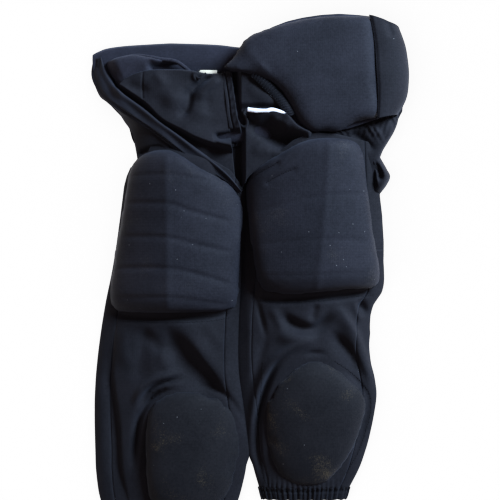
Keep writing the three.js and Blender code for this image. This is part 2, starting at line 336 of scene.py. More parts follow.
def near(path, x, y):
    """Distance from each place to a path, its side (1 on the left of travel) and its share along the path."""
    steps = np.diff(path, axis=0)
    lengths = np.hypot(steps[:, 0], steps[:, 1])
    starts = np.concatenate([[0], np.cumsum(lengths)[:-1]])
    best = np.full(np.shape(x), np.inf)
    side = np.ones(np.shape(x))
    along = np.zeros(np.shape(x))
    for (ax, ay), (dx, dy), length, start in zip(path[:-1], steps, lengths, starts):
        t = np.clip(((x - ax) * dx + (y - ay) * dy) / length**2, 0, 1)
        px, py = x - ax - t * dx, y - ay - t * dy
        distance = np.hypot(px, py)
        closer = distance < best
        best = np.where(closer, distance, best)
        side = np.where(closer, np.where(dx * py - dy * px >= 0, 1, -1), side)
        along = np.where(closer, (start + t * length) / lengths.sum(), along)
    return best, side, along


def fold(points, height, left, right=None, taper=0.3):
    """A ridge, or with a negative height a valley, along a curve, with its width on either side."""
    path = smooth_path(points, 24)
    right = left if right is None else right

    def relief(x, y):
        distance, side, along = near(path, x, y)
        width = np.where(side > 0, left, right)
        ends = smoothstep(along / taper) * smoothstep((1 - along) / taper) if taper else 1.0
        return height * np.exp(-((distance / width) ** 2)) * ends
    return relief


def step(points, height, width, taper=0.0):
    """Raises what lies on the left of a curve."""
    path = smooth_path(points, 24)

    def relief(x, y):
        distance, side, along = near(path, x, y)
        ends = smoothstep(along / taper) * smoothstep((1 - along) / taper) if taper else 1.0
        return height * smoothstep(0.5 + side * distance / (2 * width)) * ends
    return relief


def ripple(points, height, width, pitch):
    """Gathers that run across a curve, `pitch` apart, and fade out at `width` from it."""
    path = smooth_path(points, 24)
    length = np.hypot(*np.diff(path, axis=0).T).sum()

    def relief(x, y):
        distance, side, along = near(path, x, y)
        waves = np.sin(2 * math.pi * along * length / pitch + 1.3 * np.sin(9 * along)) + 0.4 * np.sin(
            3.7 * math.pi * along * length / pitch
        )
        return height * waves * np.exp(-((distance / width) ** 2))
    return relief


def rumple(x, y, height=0.5, size=55.0, seed=0.0):
    """Slow unevenness of cloth that lies loose."""
    a, b = x / size + seed, y / size - seed
    return height * (
        np.sin(2.1 * a + 1.7 * np.sin(1.3 * b)) * np.cos(1.9 * b + 0.8 * np.sin(2.2 * a))
        + 0.5 * np.sin(4.3 * a - 3.1 * b)
    )


def tent(points, left, right):
    """Two planes that fall away from a ridge, with a slope on either side of it."""
    path = smooth_path(points, 24)

    def relief(x, y):
        distance, side, _ = near(path, x, y)
        return -np.where(side > 0, left, right) * (np.sqrt(distance**2 + 16) - 4)
    return relief


def total(*reliefs):
    return lambda x, y: sum(relief(x, y) for relief in reliefs)


# ---------------------------------------------------------------- meshes
def link(mesh, name, material):
    made = bpy.data.objects.new(name, mesh)
    bpy.context.scene.collection.objects.link(made)
    made.data.materials.append(material)
    made.data.polygons.foreach_set("use_smooth", [True] * len(made.data.polygons))
    return made


def cut_size(x, y, z, closed):
    """A sheet's mean width, its mean length and its area, measured along the cloth."""
    p = np.stack([x, y, z], -1) * MM
    if closed:
        p = np.concatenate([p, p[:, :1]], 1)
    width = np.linalg.norm(np.diff(p, axis=1), axis=2).sum(1).mean()
    length = np.linalg.norm(np.diff(p, axis=0), axis=2).sum(0).mean()
    one, other = p[1:, 1:] - p[:-1, :-1], p[1:, :-1] - p[:-1, 1:]
    area = np.linalg.norm(np.cross(one, other), axis=2).sum() / 2
    return float(max(width, area / length)), float(length), float(area)


def grid_object(name, x, y, z, material, closed=False):
    """A sheet of quads through arrays of places in millimetres. Faces look up where u runs +X and v +Y."""
    rows, columns = x.shape
    cut_size(x, y, z, closed)
    places = np.stack([x, y, z], -1).reshape(-1, 3) * MM
    faces = []
    for j in range(rows - 1):
        for i in range(columns - 1):
            a = j * columns + i
            faces.append((a, a + 1, a + 1 + columns, a + columns))
        if closed:
            a = j * columns
            faces.append((a + columns - 1, a, a + columns, a + 2 * columns - 1))
    mesh = bpy.data.meshes.new(name)
    mesh.from_pydata(places.tolist(), [], faces)
    mesh.update()
    return link(mesh, name, material)


def bake(piece):
    """Applies a piece's modifiers, so that its mesh is final."""
    graph = bpy.context.evaluated_depsgraph_get()
    final = bpy.data.meshes.new_from_object(piece.evaluated_get(graph))
    old = piece.data
    piece.modifiers.clear()
    piece.data = final
    bpy.data.meshes.remove(old)
    return piece


def thicken(piece, thickness, offset=-1.0, rounds=0):
    solid = piece.modifiers.new("cloth", "SOLIDIFY")
    solid.thickness = thickness * MM
    solid.offset = offset
    solid.use_even_offset = False
    if rounds:
        smooth = piece.modifiers.new("rounding", "SUBSURF")
        smooth.levels = smooth.render_levels = rounds
    return bake(piece)


def cloth(name, place, height, columns, rows, material, thickness=None, us=(0, 1), vs=(0, 1)):
    """A sheet of cloth over a patch of the plan. height(x, y, u, v) is its upper face."""
    thickness = thickness or bpy.context.scene.pants_cloth.thickness
    u, v = np.meshgrid(np.linspace(*us, columns), np.linspace(*vs, rows))
    x, y = place(u, v)
    return thicken(grid_object(name, x, y, height(x, y, u, v), material), thickness)


KNEE_BEND = 28  # how far a blend over a knee reaches on each side of it, in millimetres
HIP_BEND = (5, 75)  # and from the first to the second of these below a hip


def across_knee(side, knee):
    """The bodies and the stretch of a blend over a knee."""
    return f"{side}_thigh", f"{side}_shin", (0, knee[1] + KNEE_BEND, 0), (0, knee[1] - KNEE_BEND, 0)


def across_hip(side, hip):
    """The bodies and the stretch of a blend over a hip."""
    return "pelvis", f"{side}_thigh", (0, hip[1] - HIP_BEND[0], 0), (0, hip[1] - HIP_BEND[1], 0)


def fit(piece, body, nodes=(), blend=None):
    """Hangs a finished piece on a body of the frame. With a blend, (body a, body b, start, end) in
    millimetres, the piece is only baked in place and hung on no body; the blend's bodies and stretch are not
    used.
    """
    if nodes:
        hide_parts(*nodes)
    if blend:
        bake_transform(piece)
    else:
        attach(piece, body)
    return piece


# ---------------------------------------------------------------- reading the frame
def slices(nodes, axis, count=160):
    """Cuts CAD nodes by planes across an axis and gives (positions, low, high) of the other plan axis
    and the highest z, all in millimetres."""
    ends = [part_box(n) for n in nodes]
    low = min(e[0][axis] for e in ends) / MM
    high = max(e[1][axis] for e in ends) / MM
    positions = np.linspace(low + 0.05, high - 0.05, count)
    found = np.full((count, 3), np.nan)
    for n in nodes:
        mesh = frame["nodes"][n].data
        places = np.array([v.co for v in mesh.vertices]) / MM
        edges = np.array([e.vertices[:] for e in mesh.edges])
        a, b = places[edges[:, 0]], places[edges[:, 1]]
        for k, position in enumerate(positions):
            cut = (a[:, axis] - position) * (b[:, axis] - position) <= 0
            cut &= np.abs(b[:, axis] - a[:, axis]) > 1e-9
            if not cut.any():
                continue
            t = ((position - a[cut, axis]) / (b[cut, axis] - a[cut, axis]))[:, None]
            p = a[cut] + (b[cut] - a[cut]) * t
            other = p[:, 1 - axis]
            found[k, 0] = np.nanmin([found[k, 0], other.min()])
            found[k, 1] = np.nanmax([found[k, 1], other.max()])
            found[k, 2] = np.nanmax([found[k, 2], p[:, 2].max()])
    for column in found.T:
        known = ~np.isnan(column)
        column[~known] = np.interp(positions[~known], positions[known], column[known])
    return positions, found


def plan_of(name, axis=0, more=(0.0, 0.0)):
    """The plan of a CAD node, as a place for u and v. `more` lets the cloth run on past its low and high
    edges, so that it tucks under its neighbours."""
    positions, found = slices([name], axis, 90)
    low, high = soften(found[:, 0], 2) - more[0], soften(found[:, 1], 2) + more[1]

    def place(u, v):
        along, across = (u, v) if axis == 0 else (v, u)
        first = positions[0] + along * (positions[-1] - positions[0])
        a, b = np.interp(first, positions, low), np.interp(first, positions, high)
        other = a + (b - a) * across
        return (first, other) if axis == 0 else (other, first)
    return place


def soften(values, reach):
    """Averages a row of values over `reach` neighbours, holding the ends."""
    padded = np.pad(values, reach, mode="reflect", reflect_type="odd")
    kernel = np.hanning(2 * reach + 3)[1:-1]
    return np.convolve(padded, kernel / kernel.sum(), mode="valid")


LEGS_PART = -238.0  # below this the inner edges of the legs no longer touch
OVERLAP = 1.2  # how far each leg presses into the other


def close_inner_gap(right, left):
    """Lets the two legs touch from the crotch down to where they part."""
    y = right.y
    middle = (np.interp(y, right.y, right.high_x) + np.interp(y, left.y, left.low_x)) / 2
    touch = smoothstep((y - (LEGS_PART - 22)) / 22)
    new_right = right.high_x + (middle + OVERLAP - right.high_x) * touch
    middle = (np.interp(left.y, right.y, right.high_x) + left.low_x) / 2
    touch = smoothstep((left.y - (LEGS_PART - 22)) / 22)
    left.low_x = left.low_x + (middle - OVERLAP - left.low_x) * touch
    right.high_x = new_right


# How far the cloth of a leg's outer side lies beyond the plain CAD edge, as (y, distance).
SIDE_SLACK = {
    "right": [(-330, 2.6), (-270, 1.4), (75, 0.8), (115, 1.2), (128, -0.6), (139, -4.0), (150, -7.0)],
    "left": [(-290, 3.5), (-270, 4.5), (-160, 4.5), (-124, 0.5), (-98, 1.4), (-82, 3.6), (-58, 0.4),
             (-44, 0.4), (-28, 5.0), (-8, 3.6), (14, 2.0), (40, 3.6), (75, 3.0), (100, 1.0)],
}


class Leg:
    """One leg's outline and front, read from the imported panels."""

    def __init__(self, name):
        self.name = name
        backs = [f"{name}_thigh_back_panel", f"{name}_shin_back_panel"]
        self.y, cut = slices(backs, 1)
        self.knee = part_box(backs[0])[0].y / MM
        self.cuff_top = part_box(f"{name}_hem_cuff")[1].y / MM
        self.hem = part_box(f"{name}_hem_cuff")[0].y / MM - (3.0 if name == "left" else 0.0)
        self.low_x, self.high_x = soften(cut[:, 0], 5), soften(cut[:, 1], 5)
        # The cut shrinks where the top line slants across the leg, so its last good width is held there.
        full = self.y < (70 if name == "right" else 85)
        last = np.nonzero(full)[0][-1]
        slope_low = (self.low_x[last] - self.low_x[last - 12]) / (self.y[last] - self.y[last - 12])
        slope_high = (self.high_x[last] - self.high_x[last - 12]) / (self.y[last] - self.y[last - 12])
        beyond = self.y[last + 1 :] - self.y[last]
        self.low_x[last + 1 :] = self.low_x[last] + slope_low * beyond
        self.high_x[last + 1 :] = self.high_x[last] + slope_high * beyond
        slack = np.interp(self.y, *np.array(SIDE_SLACK[name], float).T)
        if name == "right":
            self.low_x -= slack
        else:
            self.high_x += slack
        fronts = [f"{name}_thigh_front_panel", f"{name}_shin_front_panel"]
        self.front_y, front = slices(fronts, 1)
        self.front_top = soften(front[:, 2], 8)
        self.top_x, top = slices([f"{name}_thigh_back_panel"], 0)
        self.top_y = soften(top[:, 1], 4)

    def west(self, y):
        return np.interp(y, self.y, self.low_x)

    def east(self, y):
        return np.interp(y, self.y, self.high_x)

    def share(self, x, y):
        """Where x lies across the leg, from -1 at its west edge to 1 at its east."""
        west, east = self.west(y), self.east(y)
        return np.clip((2 * x - west - east) / (east - west), -1, 1)

    def front(self, x, y):
        """Height of the plain front of the leg, before folds."""
        radius = bpy.context.scene.pants_cloth.edge_radius
        s = self.share(x, y)
        top = np.interp(y, self.front_y, self.front_top)
        rolled = radius + 0.6 * radius * np.sqrt(1 - s**8)
        return rolled + (top - 1.6 * radius) * (1 - s**2)

    def back(self, x, y):
        radius = bpy.context.scene.pants_cloth.edge_radius
        return radius - (radius - 0.5) * np.sqrt(1 - self.share(x, y) ** 8)

    def top_line(self, x):
        return np.interp(x, self.top_x, self.top_y)


# ---------------------------------------------------------------- pads
def rim(outline, count=96, centre=None):
    """The outline of a pad as its centre and its reach in each direction, in millimetres. The outline is a
    CAD pad cover's name, or a closed list of points that is drawn round the centre."""
    angles = np.linspace(-math.pi, math.pi, count, endpoint=False)
    if not isinstance(outline, str):
        loop = np.array(outline, float)
        loop = smooth_path(np.vstack([loop[-2:], loop, loop[:3]]), 900) - centre
        bearing = np.unwrap(np.arctan2(loop[:, 1], loop[:, 0]))
        if bearing[-1] < bearing[0]:
            loop, bearing = loop[::-1], bearing[::-1]
        bearing = np.maximum.accumulate(bearing)
        length = np.hypot(loop[:, 0], loop[:, 1])
        start = bearing[len(bearing) // 8]
        reach = np.interp(start + (angles - start) % (2 * math.pi), bearing, length)
        return np.array(centre, float), angles, reach
    places = np.array([v.co for v in frame["nodes"][outline].data.vertices])[:, :2] / MM
    centre = (places.max(0) + places.min(0)) / 2
    reach = np.array([_reach(places - centre, a) for a in angles])
    wrapped = np.concatenate([reach[-4:], reach, reach[:4]])
    reach = soften(wrapped, 2)[4:-4]
    return centre, angles, reach


def _reach(points, angle):
    """How far the convex hull of the points reaches from the origin in a direction."""
    across = np.array([-math.sin(angle), math.cos(angle)])
    ahead = np.array([math.cos(angle), math.sin(angle)])
    side, forward = points @ across, points @ ahead
    left, right = side >= 0, side < 0
    best = 0.0
    for p, f in zip(side[left], forward[left]):
        t = p / (p - side[right] + 1e-9)
        best = max(best, float((f + (forward[right] - f) * t).max()))
    return best


def pad_shape(name, outline, under, foam, crown, power, relief, material, grow=0.0, rings=26, spokes=96,
              centre=None,
              sink=0.0):
    """A closed pad over an outline. `under` is the surface it lies on; crown is how much
    higher its middle is than its shoulders; power is how squarely the shoulders fall away."""
    centre, angles, reach = rim(outline, spokes, centre)
    stops = 1 - (1 - np.linspace(0, 1, rings)) ** 1.6
    rows = []
    for stop in stops[1:]:
        x = centre[0] + stop * (reach + grow) * np.cos(angles)
        y = centre[1] + stop * (reach + grow) * np.sin(angles)
        rows.append((stop, x, y))
    vertices, faces = [], []

    def add(x, y, z):
        vertices.append((x * MM, y * MM, z * MM))
        return len(vertices) - 1

    def top(stop, x, y):
        shoulder = (1 - stop**power) ** 0.6
        return (
            under(x, y) + 0.6 - sink + (foam + sink + crown * (1 - stop**2)) * shoulder
            + relief(x, y) * shoulder
        )

    c = (np.array([centre[0]]), np.array([centre[1]]))
    high = add(*centre, top(0.0, *c)[0])
    low = add(*centre, under(*c)[0] + 0.2 - 2 * sink)
    tops, bottoms = [], []
    for stop, x, y in rows:
        z = top(stop, x, y)
        tops.append([add(*p) for p in zip(x, y, z)])
        if stop < 1:
            bottoms.append([add(*p) for p in zip(x, y, under(x, y) + 0.2 - sink - sink * (1 - stop**8))])
        else:
            bottoms.append(tops[-1])
    count = len(angles)
    for k in range(count):
        n = (k + 1) % count
        faces.append((high, tops[0][k], tops[0][n]))
        faces.append((low, bottoms[0][n], bottoms[0][k]))
        for a, b in zip(tops[:-1], tops[1:]):
            faces.append((a[k], b[k], b[n], a[n]))
        for a, b in zip(bottoms[:-1], bottoms[1:]):
            faces.append((a[n], b[n], b[k], a[k]))
    mesh = bpy.data.meshes.new(name)
    mesh.from_pydata(vertices, [], faces)
    mesh.update()
    return link(mesh, name, material)


def puff(piece, cap, voxel=4.5, pressure=4.0, frames=20, hold_below=None):
    """Swells a closed pad by cloth simulation under pressure. No point moves further than `cap` or goes
    below `hold_below`, the surface that the pad lies on."""
    for other in bpy.context.selected_objects:
        other.select_set(False)
    remesh = piece.modifiers.new("remesh", "REMESH")
    remesh.mode = "VOXEL"
    remesh.voxel_size = voxel * MM
    bake(piece)
    start = np.array([v.co for v in piece.data.vertices])
    cloth_modifier = piece.modifiers.new("swell", "CLOTH")
    settings = cloth_modifier.settings
    settings.use_pressure = True
    settings.uniform_pressure_force = pressure
    settings.tension_stiffness = settings.compression_stiffness = 25
    settings.shear_stiffness = 12
    settings.bending_stiffness = 1.5
    settings.effector_weights.gravity = 0
    cloth_modifier.collision_settings.use_collision = False
    scene = bpy.context.scene
    for number in range(1, frames + 1):
        scene.frame_set(number)
    bake(piece)
    scene.frame_set(1)
    moved = np.array([v.co for v in piece.data.vertices]) - start
    distance = np.linalg.norm(moved, axis=1, keepdims=True)
    moved *= np.minimum(1, cap * MM / np.maximum(distance, 1e-9))
    final = start + moved
    if hold_below is not None:
        floor = hold_below(final[:, 0] / MM, final[:, 1] / MM) * MM
        final[:, 2] = np.maximum(final[:, 2], floor)
    piece.data.vertices.foreach_set("co", final.ravel())
    piece.data.update()
    smooth = piece.modifiers.new("smooth", "SMOOTH")
    smooth.factor = 0.5
    smooth.iterations = 3
    finer = piece.modifiers.new("finer", "SUBSURF")
    finer.levels = finer.render_levels = 1
    bake(piece)
    piece.data.polygons.foreach_set("use_smooth", [True] * len(piece.data.polygons))
    return piece


def carve(piece, relief, above):
    """Presses seams and channels into the upper side of a finished pad."""
    count = len(piece.data.vertices)
    co = np.empty(count * 3)
    piece.data.vertices.foreach_get("co", co)
    co = co.reshape(-1, 3)
    normals = np.array([v.normal for v in piece.data.vertices])
    x, y = co[:, 0] / MM, co[:, 1] / MM
    upper = smoothstep((co[:, 2] / MM - above(x, y)) / 4.0) * smoothstep(normals[:, 2] * 2)
    co[:, 2] += relief(x, y) * upper * MM
    piece.data.vertices.foreach_set("co", co.ravel())
    piece.data.update()


# ---------------------------------------------------------------- small sewn things
def tube_along(name, paths, radius, material, sides=6):
    """Round threads or rolls along lists of 3-D points in millimetres, as one mesh."""
    vertices, faces = [], []
    for path in paths:
        path = np.array(path, float)
        tangents = np.gradient(path, axis=0)
        tangents /= np.linalg.norm(tangents, axis=1, keepdims=True) + 1e-9
        side = np.cross(tangents, [0, 0, 1.0])
        side /= np.linalg.norm(side, axis=1, keepdims=True) + 1e-9
        up = np.cross(side, tangents)
        base = len(vertices)
        radii = np.broadcast_to(radius, len(path)).astype(float)
        for p, s, w, r in zip(path, side, up, radii):
            for k in range(sides):
                a = 2 * math.pi * k / sides
                vertices.append(tuple((p + r * (math.cos(a) * s + math.sin(a) * w)) * MM))
        for j in range(len(path) - 1):
            for k in range(sides):
                a, b = base + j * sides + k, base + j * sides + (k + 1) % sides
                faces.append((a, a + sides, b + sides, b))
        faces.append(tuple(base + k for k in range(sides)))
        last = base + (len(path) - 1) * sides
        faces.append(tuple(last + k for k in reversed(range(sides))))
    mesh = bpy.data.meshes.new(name)
    mesh.from_pydata(vertices, [], faces)
    mesh.update()
    return link(mesh, name, material)


def surface_probe(pieces):
    """A function that drops a place onto the highest of some finished pieces and gives its height in mm."""
    from mathutils.bvhtree import BVHTree

    trees = []
    for piece in pieces:
        shape = bmesh.new()
        shape.from_mesh(piece.data)
        trees.append(BVHTree.FromBMesh(shape))
        shape.free()

    def height(x, y):
        best = None
        for tree in trees:
            hit = tree.ray_cast(Vector((x * MM, y * MM, 0.2)), Vector((0, 0, -1)))
            if hit[0] is not None and (best is None or hit[0].z > best):
                best = hit[0].z
        return None if best is None else best / MM
    return height


def stitches(name, pieces, lines, material, pitch=3.4, length=2.3, radius=0.34, zigzag=0.0):
    """Rows of short thread stitches on the upper side of some pieces."""
    height = surface_probe(pieces)
    paths = []
    for points in lines:
        path = smooth_path(points, 240)
        run = np.concatenate([[0], np.cumsum(np.hypot(*np.diff(path, axis=0).T))])
        sign = 1
        for start in np.arange(0, run[-1] - length, pitch):
            ends = []
            for k, distance in enumerate((start, start + length / 2, start + length)):
                x, y = (np.interp(distance, run, path[:, c]) for c in (0, 1))
                tx = np.interp(distance + 0.5, run, path[:, 0]) - np.interp(distance - 0.5, run, path[:, 0])
                ty = np.interp(distance + 0.5, run, path[:, 1]) - np.interp(distance - 0.5, run, path[:, 1])
                norm = math.hypot(tx, ty) or 1.0
                offset = zigzag * sign * (k - 1)
                x, y = x - ty / norm * offset, y + tx / norm * offset
                z = height(x, y)
                if z is not None:
                    ends.append((x, y, z + (0.25 if k == 1 else -0.05)))
            sign = -sign
            if len(ends) == 3:
                paths.append(ends)
    return tube_along(name, paths, radius, material, sides=5)


# ---------------------------------------------------------------- legs
MID_THIGH = 30.0  # where a leg's cloth is cut into its thigh and shin panels, under the pad
SIDE_TOPS = {"right": (139, 101), "left": (108, 158)}  # where the cloth of a leg's west and east edges ends
PANELS = {  # stretch of each panel round the leg, in degrees from the east edge over the front
    "front": (38, 142),
    "west": (142, 205),
    "back": (205, 335),
    "east": (-25, 38),
}

RIGHT_FOLDS = total(
    # the side seam, and cloth that sinks inwards of it towards the hem
    fold([(-178, -72), (-186, -130), (-184, -158), (-178, -199), (-174, -262), (-166, -297), (-160, -326)],
         -5.5, 4.0, 15),
    fold([(-190, -60), (-198, -150), (-196, -230), (-190, -310)], 3.0, 8),
    # valley from under the thigh pad down to the inside of the knee, and the taut ridge beside it
    fold([(-124, -62), (-98, -98), (-80, -121), (-62, -140), (-46, -158), (-26, -176)], -8.5, 12, 24),
    fold([(-96, -60), (-70, -96), (-48, -126), (-28, -152), (-12, -180), (-7, -206), (-6, -232)], 5.5, 18, 9),
    fold([(-165, -66), (-168, -100), (-160, -130)], 3.0, 8, 12),
    fold([(-146, -68), (-142, -96), (-146, -126), (-156, -150)], -4.0, 14, 9),
    fold([(-120, -100), (-112, -118), (-112, -132)], 2.5, 8),
    # arcs round the top of the knee pad
    fold([(-84, -131), (-108, -136), (-129, -144), (-146, -159), (-157, -182)], 5.0, 5, 4),
    fold([(-86, -140), (-106, -144), (-125, -151), (-139, -165), (-148, -184)], -5.0, 3.4),
    fold([(-80, -147), (-108, -151), (-129, -161), (-143, -179), (-150, -203)], 3.4, 3.2),
    fold([(-92, -151), (-118, -158), (-135, -172), (-146, -192), (-150, -214), (-153, -240), (-154, -270)],
         -8.0, 4.0, 5),
    fold([(-74, -150), (-50, -154), (-30, -165), (-14, -186), (-5, -206)], -3.5, 3.5),
    # slack under the thigh pad
    fold([(-186, -58), (-150, -61), (-109, -61), (-53, -60), (-20, -53)], -5.5, 4.0, taper=0.1),
    fold([(-150, -74), (-128, -92), (-116, -112)], -2.5, 8),
    fold([(-60, -68), (-44, -88), (-34, -104)], 2.0, 8),
)
LEFT_FOLDS = total(
    # the inseam and the strip of panel on its inner side
    fold([(-4, 88), (0, 16), (9, -37), (17, -70), (21, -92)], -3.6, 3.6, taper=0.15),
    fold([(-8, 40), (-3, -30), (0, -80), (2, -130), (0, -180)], 1.6, 7),
    # the taut ridge from the pad's lower corner over the outside of the knee, and the hollow beside it
    fold([(108, -40), (128, -62), (146, -94), (158, -128), (163, -165)], 8.5, 5, 12),
    fold([(141, -38), (150, -48), (157, -60)], -11.0, 6, taper=0.4),
    fold([(136, -36), (142, -52), (150, -68)], 3.0, 3.5),
    fold([(100, -76), (120, -92), (136, -112), (148, -134), (156, -162)], -7.0, 6, 12),
    # the slack that hangs in a V below the pad
    fold([(34, -50), (56, -68), (80, -76), (98, -66), (110, -48)], -7.5, 7, 9),
    fold([(88, -40), (84, -54), (80, -66)], -3.0, 5),
    fold([(30, -78), (60, -88), (92, -82)], 3.2, 9),
    fold([(24, -44), (36, -60), (44, -78)], 2.4, 6),
    # ridge and creases round the knee pad
    fold([(90, -94), (66, -96), (42, -107), (23, -128), (9, -160), (2, -200), (2, -240)], 5.5, 5.0, 5.0),
    fold([(106, -108), (84, -107), (66, -110)], -3.0, 3.0, taper=0.45),
    fold([(54, -108), (35, -124), (21, -152), (12, -186), (9, -222), (13, -258), (24, -286)], -10.0, 4.5,
         5.0),
    fold([(28, -70), (16, -104), (6, -140), (1, -175)], -2.6, 6),
    # beside the pad's stitched outer edge
    fold([(110, -120), (134, -138), (154, -160), (157, -182), (150, -212), (139, -243), (122, -272)], -3.2,
         3.2),
    fold([(8, -34), (40, -37), (96, -34), (130, -31), (166, -27)], -6.0, 4.0, taper=0.1),
    ripple([(40, -41), (96, -40), (150, -36)], 0.7, 5, 5.0),
    # gathers run up from the hem
    ripple([(18, -288), (70, -289), (122, -288)], 0.9, 12, 6.5),
)


FOLD_DEPTH = 1.3


def leg_height(leg, folds):
    """The finished front of a leg: plain arch, folds and slow rumpling."""
    def height(x, y):
        calm = np.sqrt(np.clip(1 - leg.share(x, y) ** 2, 0, 1))
        return leg.front(x, y) + (FOLD_DEPTH * folds(x, y) + rumple(x, y, 0.8, 40)) * calm
    return height


class PANTS_OT_legs(bpy.types.Operator):
    """Cloth of both legs: front, side, inseam and back panels from the hip to the hem"""

    bl_idname = "pants.legs"
    bl_label = "Leg panels"

    def execute(self, context):
        for name in SIDES:
            leg = LEGS[name]
            top = LEG_TOPS[name]
            hip = JOINTS[f"{name}_hip_fold"]
            knee = JOINTS[f"{name}_knee_fold"]
            for half in ("thigh", "shin"):
                for panel, (start, end) in PANELS.items():
                    side = (
                        {"west": "side", "east": "inseam"} if name == "right"
                        else {"west": "inseam", "east": "side"}
                    )
                    label = side.get(panel, panel)
                    self.panel(leg, top, half, panel, label, start, end, hip, knee)
        return {"FINISHED"}

    def panel(self, leg, top, half, panel, label, start, end, hip, knee):
        angles = np.radians(np.linspace(start, end, {"front": 72, "back": 34}.get(panel, 22)))
        rows = np.linspace(0, 1, 110)
        a, v = np.meshgrid(angles, rows)
        s = np.cos(a)
        if half == "thigh":
            low = MID_THIGH
            mid_x = (leg.west(low) + leg.east(low)) / 2
            half_width = (leg.east(100) - leg.west(100)) / 2
            reach = leg.top_line(mid_x + s * half_width) + (4 if panel != "back" else 1)
            reach = np.maximum(reach, np.interp(s, [-1, 1], SIDE_TOPS[leg.name]))
            y = low + (reach - low) * v
        else:
            y = leg.cuff_top + (MID_THIGH - leg.cuff_top) * v
        x = (leg.west(y) + leg.east(y)) / 2 + s * (leg.east(y) - leg.west(y)) / 2
        over = np.sin(a) > 0
        z = np.where(over, top(x, y), leg.back(x, y))
        # each panel dips into the seams at its two long edges
        edge = np.minimum(np.abs(a - a[:, :1]), np.abs(a - a[:, -1:])) * (leg.east(y) - leg.west(y)) / 2
        z = z - np.where(over, 0.8, 0.0) * np.exp(-((edge / 1.6) ** 2)) * np.clip(np.sin(a) * 2, 0, 1)
        order = slice(None, None, -1)  # shares run from east to west, so columns are turned round
        piece = grid_object(
            f"{leg.name}_{half}_{label}_cloth", x[:, order], y[:, order], z[:, order], MATERIALS["shell_knit"]
        )
        thicken(piece, bpy.context.scene.pants_cloth.thickness)
        body = f"{leg.name}_{half}"
        node_name = f"{leg.name}_{half}_{label}_panel"
        if half == "thigh":
            across = across_hip(leg.name, hip)
        else:
            across = across_knee(leg.name, knee)
        fit(piece, body, [node_name], across)


class PANTS_OT_hems(bpy.types.Operator):
    """Gathered elastic hems at the ends of the legs"""

    bl_idname = "pants.hems"
    bl_label = "Hems"

    def execute(self, context):
        for name in SIDES:
            leg = LEGS[name]
            top = LEG_TOPS[name]
            angles = np.linspace(0, 2 * math.pi, 360, endpoint=False)
            rows = np.linspace(0, 1, 14)
            a, v = np.meshgrid(angles, rows)
            y = leg.hem + (leg.cuff_top + 1.0 - leg.hem) * v
            at_top = leg.cuff_top
            west = leg.west(at_top) + (at_top - y) * 0.25
            east = leg.east(at_top) - (at_top - y) * 0.25
            s = np.cos(a)
            x = (west + east) / 2 + s * (east - west) / 2
            plain_x = (
                (leg.west(at_top) + leg.east(at_top)) / 2 + s * (leg.east(at_top) - leg.west(at_top)) / 2
            )
            z = np.where(np.sin(a) > 0, top(plain_x, np.full_like(y, at_top)),
                         leg.back(plain_x, np.full_like(y, at_top)))
            pucker = np.sin(a * 38 + 2.5 * np.sin(5 * a)) * (0.2 + 0.5 * v)
            lift = np.where(np.sin(a) > 0, 1.0, 0.0)
            z = z * (1 - 0.12 * (1 - v)) + pucker * 0.9 * lift + 0.4 * (1 - lift)
            y = y + 0.6 * np.sin(a * 19 + 0.7 + np.sin(4 * a)) * (1 - v) * lift
            z = z - 1.0 * lift * np.exp(-(((v - 0.72) / 0.1) ** 2))
            piece = grid_object(f"{name}_hem_elastic", x[:, ::-1], y[:, ::-1], z[:, ::-1],
                                MATERIALS["elastic"], closed=True)
            thicken(piece, 1.4)
            fit(piece, f"{name}_shin", [f"{name}_hem_cuff"])
        return {"FINISHED"}


# Outlines of the pads' pockets, clockwise from the top left, each with the centre that it is drawn round.
PAD_EDGES = {
    "right_thigh": ((-98, 50), [(-151, 150), (-135, 160), (-109, 164), (-88, 155), (-69, 142), (-44, 129),
                                (-22, 114), (-11, 96), (-8, 72), (-11, 30), (-13, -5), (-14, -32), (-22, -50),
                                (-53, -56), (-109, -57), (-158, -57), (-180, -52), (-187, -34), (-185, -6),
                                (-180, 30), (-173, 70), (-166, 110), (-160, 136)]),
    "left_thigh": ((84, 76), [(64, 172), (84, 178), (112, 179), (138, 174), (149, 160), (154, 134), (160, 90),
                              (166, 48), (172, 12), (173.5, -8), (168, -21), (152, -25), (125, -26),
                              (96, -29), (60, -32), (28, -30), (14, -24), (7, -6), (2, 24), (-3, 60),
                              (-5, 90), (-6, 112), (2, 132), (22, 148), (46, 162)]),
    "right_knee": ((-74, -236), [(-84, -156), (-59, -160), (-34, -171), (-17, -191), (-9, -216), (-9, -246),
                                 (-16, -276), (-32, -304), (-60, -318), (-96, -320), (-124, -313),
                                 (-136, -290), (-139, -240), (-137, -196), (-126, -172), (-106, -159)]),
    "left_knee": ((84, -206), [(84, -116), (104, -120), (128, -137), (150, -160), (154, -180), (147, -210),
                               (136, -238), (120, -264), (100, -281), (78, -286), (56, -283), (37, -271),
                               (25, -246), (19, -212), (21, -180), (32, -155), (50, -133), (67, -121)]),
}

SINK = 3.0  # how far a pad's rim lies below the cloth that it is sewn to

# Foam channels that show through the thigh pockets, as (line, depth).
RIGHT_CHANNELS = [
    ([(-172, 126), (-108, 128), (-44, 118)], 0.5),
    ([(-176, 92), (-108, 90), (-75, 80), (-20, 66)], 0.8),
    ([(-180, 48), (-108, 46), (-70, 37), (-18, 26)], 0.8),
    ([(-184, 6), (-108, 6), (-60, -4), (-18, -18)], 0.9),
    ([(-186, -34), (-108, -32), (-60, -38), (-22, -44)], 0.7),
]
LEFT_CHANNELS = [
    ([(-4, 120), (13, 131), (29, 139), (40, 146)], 1.1),
    ([(18, 115), (39, 127), (62, 136)], 0.9),
    ([(4, 78), (80, 98), (150, 104)], 0.35),
    ([(6, 36), (90, 44), (160, 42)], 0.3),
    ([(12, -4), (90, -2), (166, 0)], 0.35),
]


